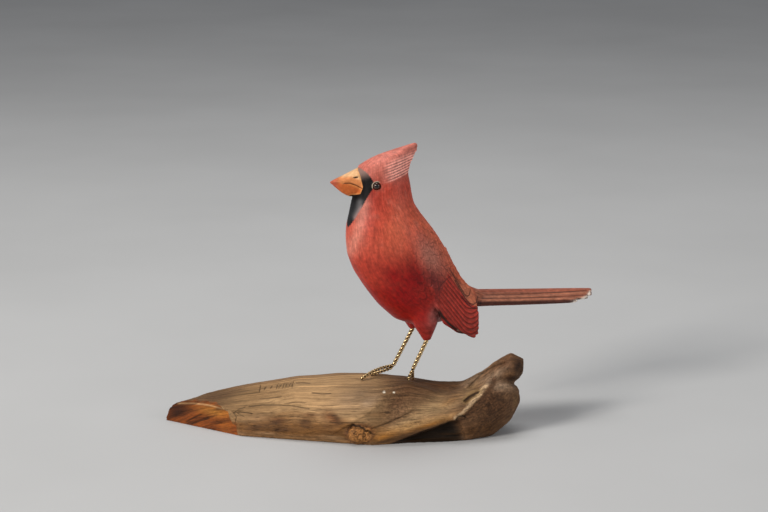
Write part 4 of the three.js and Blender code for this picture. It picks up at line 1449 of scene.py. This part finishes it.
def facingShare(piece):  # 1 where the skin looks towards the camera
    toCamera = cameraPlace - pointsOf(piece)
    toCamera /= np.linalg.norm(toCamera, axis=1)[:, None]
    return ramp(np.sum(normalsOf(piece) * toCamera, axis=1), 0.0, 0.25)


def logSoftness(points):  # 1 where the facets are smoothed away, near 0 where an edge stays crisp
    x, _, z = points.T
    soft = 1 - logSoft["bulb"] * ramp(x, *logSpans["bulb"])
    horn = logSoft["horn"] * ramp(x, *logSpans["hornAlong"]) * ramp(z, *logSpans["hornUp"])
    soft = np.minimum(soft, 1 - horn)
    cutEdge = fall(np.abs(cutGap(points)), *logSpans["cutEdge"]) * fall(x, *logSpans["cutEdgeTo"])
    soft = np.minimum(soft, 1 - logSoft["cut"] * cutEdge)
    knot = np.linalg.norm((points - logForm["knot"]) / logForm["knotHalves"], axis=1)
    soft = np.minimum(soft, logSoft["knot"] + ramp(knot, 1.0, 1.5))
    return np.minimum(soft, logSoft["ground"] + ramp(z, *logSpans["aboveGround"]))


def carvedShapes(spots):  # ridges and hollows at their places on the picture, in mm
    under = insideOf(spots, undercutOutline)
    rise = -logCarving["undercut"] * ramp(under, -0.8, 5)
    rise += logCarving["rim"] * stroke(spots, rimLine, 3.2) * fall(under, -1, 1)
    rise -= logCarving["hollow"] * ramp(insideOf(spots, hollowOutline), -0.6, 2.4)
    ridge = besideLine(spots, ridgeLine)
    rise += logCarving["ridge"] * hill(ridge, -0.8, 2.8) - logCarving["behindRidge"] * hill(ridge, -7.5, 3.6)
    step = besideLine(spots, stepLine)
    rise -= logCarving["step"] * ramp(step, -1.0, 2.5) * fall(step, 8, 30) * ramp(spots[:, 1], 390, 406)
    fold = besideLine(spots, foldLine)
    rise += logCarving["foldLip"] * hill(fold, -2.6, 1.8) - logCarving["fold"] * hill(fold, 0.6, 1.6)
    for middle, halves, turn, depth in logDents:
        rise -= depth * blot(spots, middle, halves, turn)
    for line, half, _, depth in logCracks:
        rise -= depth * stroke(spots, line, half + 0.25)
    for line in writingStrokes():
        rise -= logCarving["writing"] * stroke(spots, line, writing["half"] + 0.2)
    return rise


def makeLog():
    piece = logNode
    applied(piece, "REMESH", mode="VOXEL", voxel_size=logForm["cell"] * mm)
    softened(piece, logSoftness(pointsOf(piece) + logOffset), logForm["smoothing"])
    print("driftwood smoothed")
    points = pointsOf(piece)
    shifted = points + logOffset
    grain = grainPlace(shifted)
    waves = noiseOf(grain, woodNoise["waves"])
    rise = logForm["waveDepth"] * waves
    rise += logForm["grainDepth"] * noiseOf(grain, woodNoise["ribs"]) * (0.7 + 0.5 * waves)
    rise += logForm["fineDepth"] * noiseOf(grain, woodNoise["fine"])
    dents = noiseOf(shifted, woodNoise["dents"])
    rise += logForm["dentDepth"] * dents * ramp(shifted[:, 0], *logSpans["dentsFrom"])
    rise -= logForm["furrowDepth"] * ramp(noiseOf(grain, woodNoise["furrows"]), 0.35, 0.9)
    onCut = cutShare(shifted)
    rise = rise * (1 - onCut) + logForm["sawDepth"] * noiseOf(shifted, woodNoise["saw"]) * onCut
    rise += carvedShapes(spotsOf(points)) * facingShare(piece)
    rise += logForm["giveBack"] * logSoftness(shifted)
    rise *= ramp(shifted[:, 2], *logSpans["weathered"])
    moved = points + normalsOf(piece) * rise[:, None]
    moved[:, 2] = np.maximum(moved[:, 2], 0)
    movePoints(piece, moved)
    thinned(piece, logForm["faces"])
    print("driftwood weathered")
    return piece


grainSpans = {  # in mm along the log and across it, and in shares of its height
    "lightFrom": (-90, -40),
    "lightTo": (-20, 8),
    "darkTop": (-125, -96),
    "darkTopHigh": (0.5, 0.9),
    "front": (0.36, 0.62),
    "frontLow": (0.06, 0.2),
    "back": (8, 20),
    "middle": (-6, 14),
}


def grainColours(points, grain, chart, patches, mottle):
    x, y, _ = points.T
    high = grain[:, 2] / logForm["grainHigh"]
    darkTop = fall(x, *grainSpans["darkTop"]) * ramp(high + 0.2 * patches, *grainSpans["darkTopHigh"])
    return layered(np.tile(chart["top"], (len(x), 1)), chart, (
        ("topLight", ramp(x, *grainSpans["lightFrom"]) * fall(x, *grainSpans["lightTo"]) * 0.8),
        ("topDark", darkTop * 0.7),
        ("front", fall(high - 0.12 * patches, *grainSpans["front"])),
        ("frontLight", fall(high, *grainSpans["frontLow"]) * 0.5),
        ("back", ramp(y, *grainSpans["back"]) * 0.8),
        ("middle", ramp(x, *grainSpans["middle"]) * (0.85 + 0.15 * mottle)),
    ))


bulbSpans = {  # in pixels, beside the step's and the ridge's lines, or across or down the picture
    "stepFrom": (-1.2, 1.2),
    "stepTo": (6, 22),
    "stepDown": (388, 412),
    "ridgeWidens": (458, 474),
    "ridgeDown": (381, 388),
    "ridgeFade": (0.4, 1.0),  # in shares of its width
    "besideFrom": (0.3, 1.8),
    "besideTo": (4, 8),
    "hollowRim": (-3.0, -1.0),
    "hollow": (-0.5, 1.0),
}
ridgeWidths = (2.0, 1.6)  # half of it at its low end, and how much wider it gets


def bulbPainted(colours, spots, facing, chart, speckle, mottle):  # step, and painted light and shade at the ridge and the hollow
    x, y = spots.T
    step = besideLine(spots, stepLine)
    stepped = ramp(step, *bulbSpans["stepFrom"]) * fall(step, *bulbSpans["stepTo"])
    stepped *= ramp(y, *bulbSpans["stepDown"])
    colours = painted(colours, colours * 0.7, stepped * facing * 0.8)
    ridge = besideLine(spots, ridgeLine)
    ridgeWide = ridgeWidths[0] + ridgeWidths[1] * ramp(x, *bulbSpans["ridgeWidens"])
    ridgeHighlight = fall(np.abs(ridge + ridgeWide - 0.6) / ridgeWide, *bulbSpans["ridgeFade"])
    ridgeHighlight *= ramp(y, *bulbSpans["ridgeDown"])
    beside = ramp(ridge, *bulbSpans["besideFrom"]) * fall(ridge, *bulbSpans["besideTo"])
    hollow = insideOf(spots, hollowOutline)
    return layered(colours, chart, (
        # painted shade on the bulb beside the ridge
        ("bulb", beside * facing * 0.8),
        ("ridge", ridgeHighlight * (0.75 + 0.5 * speckle + 0.3 * mottle) * facing),
        ("hollowRim", ramp(hollow, *bulbSpans["hollowRim"]) * facing * 0.5),
        # painted shade in the hollow
        ("stainAndShade", ramp(hollow, *bulbSpans["hollow"]) * facing * 0.9),
    ))


undercutSpans = {"shadow": (-0.6, 1.0), "toBulb": (452, 468), "warmBounce": (1, 4)}  # in pixels
undercutSlant = 0.5
undercutLevel = 430


# painted shadow under the log's front, with warm painted bounce light inside it
def undercutPainted(colours, spots, facing, chart, streak):
    under = insideOf(spots, undercutOutline)
    shadow = ramp(under + 0.5 * streak, *undercutSpans["shadow"]) * facing
    slanted = spots[:, 0] - undercutSlant * (spots[:, 1] - undercutLevel)
    shadow *= fall(slanted, *undercutSpans["toBulb"])
    warmBounce = ramp(under, *undercutSpans["warmBounce"]) * ramp(streak, 0.1, 0.8) * facing
    return layered(colours, chart, (("undercut", shadow * 0.95), ("undercutBounce", warmBounce * 0.7)))


def knotPainted(colours, spots, facing, chart, speckle, mottle):
    arm = (spots - knotSpot["middle"]) / knotSpot["halves"]
    knot = np.hypot(arm[:, 0], arm[:, 1]) + 0.06 * speckle
    onKnot = fall(knot, *knotSpot["edge"]) * facing
    return layered(colours, chart, (
        ("redStain", fall(knot, *knotSpot["stainAndShade"]) * facing * 0.6),
        ("knot", onKnot),
        ("knotDark", onKnot * ramp(speckle + 0.6 * mottle, 0.25, 0.9) * 0.85),
    ))


def logColours(points, spots, facing, grain):
    chart = chartOf(woodTones)
    x, _, z = points.T
    patches, streak = (noiseOf(grain, woodNoise[name]) for name in ("patches", "streak"))
    speckle, mottle = (noiseOf(points, woodNoise[name]) for name in ("speckle", "mottle"))
    colours = grainColours(points, grain, chart, patches, mottle)
    for name, middle, halves, turn, amount in woodMarks:
        mark = blot(spots, middle, halves, turn) * facing * amount * (1 + 0.3 * patches + 0.25 * mottle)
        colours = painted(colours, chart[name], mark)
    colours = bulbPainted(colours, spots, facing, chart, speckle, mottle)
    colours = undercutPainted(colours, spots, facing, chart, streak)
    hornBack = ramp(x, *logSpans["hornBackAlong"]) * ramp(z, *logSpans["hornBackUp"])
    bulbBack = ramp(x, *logSpans["bulbBackAlong"]) * fall(z, *logSpans["bulbBackUp"])
    colours = layered(colours, chart, (
        ("horn", hornBack * (1 - facing) * 0.8),
        # the bulb's hidden back in the same dark tone
        ("bulb", bulbBack * (1 - facing) * 0.8),
        # painted highlight along the sawn end's top edge
        ("cutRimHighlight", stroke(spots, cutRimLine, 1.3) * facing * 0.9),
    ))
    colours = knotPainted(colours, spots, facing, chart, speckle, mottle)
    for place, half in glintSpecks:
        colours = painted(colours, chart["speckGlint"], ramp(blot(spots, place, (half, half)), 0.2, 0.6) * facing)
    return np.clip(colours * (1 + 0.2 * streak[:, None] + 0.1 * speckle[:, None]), 0.002, 1)


def cutColours(points, spots):  # the sawn end's growth rings, cut at a slant
    chart = chartOf(woodTones)
    run = (points[:, 0] - logForm["cutLow"][0]) / (logForm["cutHigh"][0] - logForm["cutLow"][0])
    patches = noiseOf(points, woodNoise["cutPatches"])
    rings = points[:, 2] - 30 * run + 9 * run ** 2 + 0.8 * patches
    bands = np.stack([rings, run * logForm["cutLong"], 0 * run], axis=1)
    colours = np.tile(chart["cut"], (len(points), 1))
    for name, middle, halves, turn, amount in cutMarks:
        colours = painted(colours, chart[name], blot(spots, middle, halves, turn) * amount)
    light = blot(spots, (226, 424), (8, 9), 20) * (0.7 + 0.3 * patches)
    colours = painted(colours, chart["cutLight"], light)
    # painted highlight along the sawn end's top edge
    return painted(colours, chart["cutRimHighlight"], stroke(spots, cutRimLine, 0.8) * 0.5), bands


def paintLog(piece):
    points = pointsOf(piece)
    shifted = points + logOffset
    spots = spotsOf(points)
    grain = grainPlace(shifted)
    facing = facingShare(piece)
    whole = np.ones(len(points))
    # the log's colour: its stains and grain, with painted light and shade
    keepValues(piece, "stainAndShade", np.column_stack([logColours(shifted, spots, facing, grain), whole]))
    keepValues(piece, "grain", grain)
    cutPaint, bands = cutColours(shifted, spots)
    keepValues(piece, "cutPaint", np.column_stack([cutPaint, whole]))
    keepValues(piece, "bands", bands)
    sapwood = ramp(besideLine(spots, cutSideLine), -0.6, 0.6) * fall(spots[:, 0], 240, 246) * facing
    past = ramp(shifted[:, 0], *logForm["cutBefore"])
    keepValues(piece, "outOfCut", np.abs(cutGap(shifted)) + 9 * past + 9 * sapwood)
    lines = [(line, half, shade) for line, half, shade, _ in logCracks]
    lines += [(line, writing["half"], 0.7) for line in writingStrokes()]
    lineGap, lineDark = thinLines(spots, lines)
    keepValues(piece, "lineGap", lineGap)
    keepValues(piece, "lineDark", lineDark * facing)
    keepValues(piece, "onBulb", ramp(shifted[:, 0], *logSpans["pitsFrom"]) * 0.6)
    pitted = [blot(spots, middle, halves, turn) * amount for middle, halves, turn, amount in pitMarks]
    keepValues(piece, "pitted", np.max(pitted, axis=0) * facing)
    print("driftwood stained")


woodLook = {
    "wide": (0.015, 0.4, 0.5),  # noise in the grain: the higher, the finer, along, across and up
    "fine": (0.04, 1.7, 2.1),
    "paleHair": (0.02, 1.3, 1.7),
    "hairline": (0.022, 1.0, 1.3),
    "pores": (0.4, 3.2, 3.2),
    "fringe": (0.22, 0.9, 0.9),
    "broadBand": (0.34, 0.03, 1.0),
    "narrowBand": (1.5, 0.07, 1.0),
    "mottle": (190, 190, 190),
    "pits": (620, 620, 620),
    "hairlineDark": 0.42,
    "line": (0.014, 0.008, 0.004, 1),
    "bump": 0.35,
    "specular": 0.16,
}


def grainShade(material, grain, fine, hairline, pores):  # the weathered wood, lighter and darker
    wide = streaks(material, grain, woodLook["wide"], 4.0, 0.6)
    paleHair = streaks(material, grain, woodLook["paleHair"], 3.0, 0.5)
    shade = between(material, wide, 0.66, 1.34, 0.28, 0.72)
    for other in (between(material, fine, 0.6, 1.36, 0.25, 0.75),
                  between(material, paleHair, 1.0, 1.34, 0.56, 0.66),
                  figure(material, "MULTIPLY_ADD", hairline, -woodLook["hairlineDark"], 1.0),
                  between(material, pores, 0.74, 1.0, 0.3, 0.45)):
        shade = figure(material, "MULTIPLY", shade, other)
    return shade, wide


def cutLook(material, bands, mottle):  # bands of the sawn end, broad and narrow
    broad = streaks(material, bands, woodLook["broadBand"], 2.0)
    broad = between(material, broad, 0.45, 1.6, 0.32, 0.68)
    narrow = streaks(material, bands, woodLook["narrowBand"], 4.0, 0.65)
    narrow = between(material, narrow, 0.6, 1.4, 0.3, 0.7)
    shade = figure(material, "MULTIPLY", figure(material, "MULTIPLY", broad, narrow),
                   between(material, mottle, 0.8, 1.2, 0.3, 0.7))
    return scaledColour(material, attribute(material, "cutPaint").outputs["Color"], shade)


def woodMaterial():
    material = newMaterial("weatheredDriftwood")

    def value(name):
        return attribute(material, name).outputs["Fac"]
    grain = attribute(material, "grain").outputs["Vector"]
    place = addNode(material, "ShaderNodeTexCoord").outputs["Object"]
    fine = streaks(material, grain, woodLook["fine"], 5.0, 0.65)
    hairline = streaks(material, grain, woodLook["hairline"], 3.0, 0.5)
    hairline = between(material, hairline, 0, 1, 0.6, 0.66)
    pores = streaks(material, grain, woodLook["pores"], 3.0, 0.6)
    mottle = streaks(material, place, woodLook["mottle"], 5.0, 0.65)
    shade, wide = grainShade(material, grain, fine, hairline, pores)
    blotches = between(material, mottle, -0.5, 0.5, 0.3, 0.7)
    pits = streaks(material, place, woodLook["pits"], 3.0, 0.6)
    pits = between(material, pits, -0.75, 0.35, 0.42, 0.58)
    for other in (figure(material, "MULTIPLY_ADD", blotches, value("onBulb"), 1.0),
                  figure(material, "MULTIPLY_ADD", pits, value("pitted"), 1.0)):
        shade = figure(material, "MULTIPLY", shade, other)
    colour = scaledColour(material, attribute(material, "stainAndShade").outputs["Color"], shade)
    cutPaint = cutLook(material, attribute(material, "bands").outputs["Vector"], mottle)
    fringe = streaks(material, grain, woodLook["fringe"], 3.0, 0.6)
    fringe = between(material, fringe, 3.6, 0.0, 0.36, 0.6)
    onCut = between(material, figure(material, "SUBTRACT", value("outOfCut"), fringe), 1, 0, 0.7, 1.1)
    colour = mixedColour(material, onCut, colour, cutPaint)
    drawn = between(material, figure(material, "ABSOLUTE", value("lineGap")), 1, 0, 0.5, 1.6)
    broken = figure(material, "MULTIPLY", value("lineDark"), between(material, fine, 0.6, 1.1, 0.3, 0.6))
    drawn = figure(material, "MULTIPLY", drawn, broken)
    colour = mixedColour(material, drawn, colour, woodLook["line"])
    height = figure(material, "MULTIPLY_ADD", fine, 0.9, figure(material, "MULTIPLY_ADD", pores, 0.5, wide))
    height = figure(material, "MULTIPLY_ADD", hairline, -0.9, height)
    height = figure(material, "MULTIPLY_ADD", drawn, -1.4, height)
    skinOf(material, Base_Color=colour, Roughness=figure(material, "MULTIPLY_ADD", fine, 0.3, 0.42))
    skinOf(material, Normal=bumped(material, height, woodLook["bump"] * mm, 0.7))
    skinOf(material, Specular_IOR_Level=woodLook["specular"])
    return material


logPiece = makeLog()
paintLog(logPiece)
finished(logPiece, "driftwood_base", woodMaterial())


# Legs: wires twisted together, each pair of wires spread into a toe

legForm = {
    "thighEnd": (14.6, -13, 65.2),
    "rightShift": (-1.0, 2.0),  # the right thigh against the left one, along and up
    "socket": 4.6,
    "strands": 3,
    "pitch": 9.3,
    "wire": 0.74,
    "offset": 0.78,
    "toeWire": 0.66,
    "toeOffset": 0.62,
    "toePitch": 5.2,
    "around": 12,
    "step": 0.45,
    "taper": (0.35, 0.8),  # a wire's thickness at its end and one step in
    "lying": 0.6,  # a toe's wires sink this much of their offset towards the log
    "farAbove": 120,
    "aside": (0.3, 0.9, 0.2),  # any direction that no wire runs in
}
feet = {  # a toe's heading, length and arch; a low arch drops to the log early
    "left": {"ankle": (3.5, -13, 43.8), "toes": [(171, 3.6, 1), (88, 6, 1)]},
    "right": {"ankle": (-1.6, 13, 40.2), "toes": [(213.4, 28.4, 2.6), (198.4, 17.3, 0.55)]},
}
logSkin = BVHTree.FromObject(logPiece, bpy.context.evaluated_depsgraph_get())


def wireAlong(name, path, half):  # one round wire with closed ends
    curve = bpy.data.curves.new(name, "CURVE")
    curve.dimensions = "3D"
    curve.bevel_depth = half * mm
    curve.bevel_resolution = legForm["around"] // 4
    curve.use_fill_caps = True
    spline = curve.splines.new("POLY")
    spline.points.add(len(path) - 1)
    spline.points.foreach_set("co", np.column_stack([path * mm, np.ones(len(path))]).ravel())
    taper = np.ones(len(path))
    taper[[0, -1]], taper[[1, -2]] = legForm["taper"]
    spline.points.foreach_set("radius", taper)
    wire = bpy.data.objects.new(name, curve)
    bpy.context.scene.collection.objects.link(wire)
    return wire


def evenly(path, step):
    run = np.concatenate([[0], np.cumsum(np.linalg.norm(np.diff(path, axis=0), axis=1))])
    places = np.linspace(0, run[-1], max(int(run[-1] / step), 4))
    return np.stack([np.interp(places, run, path[:, k]) for k in range(3)], axis=1), places


def twisted(name, path, strands, half, offset, pitch):  # wires round a path, and its places
    path, run = evenly(path, legForm["step"])
    along = np.gradient(path, axis=0)
    along /= np.linalg.norm(along, axis=1)[:, None]
    side = np.cross(along, legForm["aside"])
    side /= np.linalg.norm(side, axis=1)[:, None]
    other = np.cross(along, side)
    wires = []
    for strand in range(strands):
        angle = run / pitch * 2 * math.pi + strand / strands * 2 * math.pi
        helix = path + offset * (side * np.cos(angle)[:, None] + other * np.sin(angle)[:, None])
        wires.append(wireAlong(f"{name}_{strand}", helix, half))
    return wires, path


def toePath(ankle, heading, length, arch):
    angle = math.radians(heading)
    path = []
    for share in np.linspace(0, 1, 9):
        place = ankle + np.array([math.cos(angle), math.sin(angle), 0]) * length * share
        above = Vector((place[0], place[1], legForm["farAbove"])) * mm
        hit = logSkin.ray_cast(above, Vector((0, 0, -1)))[0]
        ground = hit[2] / mm + legForm["toeWire"] + legForm["toeOffset"] * legForm["lying"]
        place[2] = ankle[2] + (ground - ankle[2]) * share ** arch
        path.append(place)
    return np.array(path)


def grooveShadeShare(piece, axes, reaches):  # painted shade: 1 down between the wires, nothing on their backs
    tree = treeOf(axes)
    found = [tree.find(place)[1:] for place in pointsOf(piece)]
    gaps = np.array([gap / reaches[number] for number, gap in found])
    return fall(gaps, 0.6, 0.9)


def makeLeg(side, name, node, material):
    x, y, z = legForm["thighEnd"]
    along, rise = legForm["rightShift"]
    thighEnd = np.array([x, y, z] if side == "left" else [x + along, -y, z + rise])
    ankle = np.array(feet[side]["ankle"])
    up = (thighEnd - ankle) / np.linalg.norm(thighEnd - ankle)
    line = stoodUp(np.array([thighEnd + up * legForm["socket"], ankle]))
    wires, axes = twisted(name, line, legForm["strands"], legForm["wire"], legForm["offset"],
                          legForm["pitch"])
    reaches = [legForm["wire"] + legForm["offset"]] * len(axes)
    for number, toeWay in enumerate(feet[side]["toes"]):
        path = toePath(line[1], *toeWay)
        toe, toeAxes = twisted(f"{name}_toe{number}", path, 2, legForm["toeWire"], legForm["toeOffset"],
                               legForm["toePitch"])
        wires += toe
        axes = np.concatenate([axes, toeAxes])
        reaches += [legForm["toeWire"] + legForm["toeOffset"]] * len(toeAxes)
    clearPick()
    for wire in wires:
        wire.select_set(True)
    bpy.context.view_layer.objects.active = wires[0]
    bpy.ops.object.convert(target="MESH")
    bpy.ops.object.join()
    piece = bpy.context.object
    piece.name = name
    piece.data.name = name
    keepValues(piece, "grooveShade", grooveShadeShare(piece, axes, reaches))
    finished(piece, node, material)
    return piece


# dark brown between the wires: painted shade
brassTones = {"wire": (226, 196, 146), "grooveShade": (52, 34, 16)}


def brassMaterial():
    material = newMaterial("agedBrassWire")
    place = addNode(material, "ShaderNodeTexCoord").outputs["Object"]
    tarnish = streaks(material, place, (420, 420, 420), 4.0)
    fine = streaks(material, place, (1800, 1800, 1800), 2.0)
    grooveShade = attribute(material, "grooveShade").outputs["Fac"]
    # painted shade between the wires, and tarnish in patches
    amount = figure(material, "MAXIMUM", grooveShade, between(material, tarnish, 0, 0.45, 0.45, 0.7))
    bright, dark = ((*tone(*brassTones[part]), 1) for part in ("wire", "grooveShade"))
    colour = mixedColour(material, amount, bright, dark)
    roughness = between(material, amount, 0.26, 0.5)
    skinOf(material, Base_Color=colour, Metallic=1.0, Roughness=roughness)
    skinOf(material, Normal=bumped(material, fine, 0.05 * mm, 0.4))
    return material


brass = brassMaterial()
makeLeg("left", "wire_leg_left", "leg_left", brass)
makeLeg("right", "wire_leg_right", "leg_right", brass)
print("legs twisted")


# Floor and light

lightPlan = {
    "key": {"place": (-1.7, -1.3, 1.05), "size": 0.6, "power": 42, "tint": (1.0, 0.95, 0.88)},
    "fill": {"place": (1.8, -0.9, 0.8), "size": 0.9, "power": 9, "tint": (1.0, 0.97, 0.93)},
    "top": {"place": (0.0, 0.4, 1.7), "size": 0.9, "power": 13, "tint": (1.0, 0.98, 0.95)},
}
lampAim = (0, 0, 0.08)
floorPlan = {"size": 30, "tone": (0.52, 0.53, 0.54), "clouds": (0.96, 1.04)}

for lightName, light in lightPlan.items():
    clearPick()
    bpy.ops.object.light_add(type="AREA", location=light["place"])
    lamp = bpy.context.object
    lamp.name = lightName + "_light"
    lamp.data.size = light["size"]
    lamp.data.energy = light["power"]
    lamp.data.color = light["tint"]
    lampLine = Vector(lampAim) - Vector(light["place"])
    lamp.rotation_euler = lampLine.to_track_quat("-Z", "Y").to_euler()

world = bpy.data.worlds.new("studio")
world.use_nodes = True
world.node_tree.nodes["Background"].inputs["Color"].default_value = (0.96, 0.97, 1.0, 1)
world.node_tree.nodes["Background"].inputs["Strength"].default_value = 0.24
bpy.context.scene.world = world
bpy.context.scene.view_settings.view_transform = "Standard"

clearPick()
bpy.ops.mesh.primitive_plane_add(size=floorPlan["size"])
floor = bpy.context.object
floor.name = "floor"
floorMaterial = newMaterial("paleFloor")
floorPlace = addNode(floorMaterial, "ShaderNodeTexCoord").outputs["Object"]
floorCloud = streaks(floorMaterial, floorPlace, (3, 3, 3), 3.0)
floorShade = between(floorMaterial, floorCloud, *floorPlan["clouds"], 0.3, 0.7)
floorColour = scaledColour(floorMaterial, floorPlan["tone"], floorShade)
skinOf(floorMaterial, Base_Color=floorColour, Roughness=0.8)
floor.data.materials.append(floorMaterial)
print("floor and lights set")
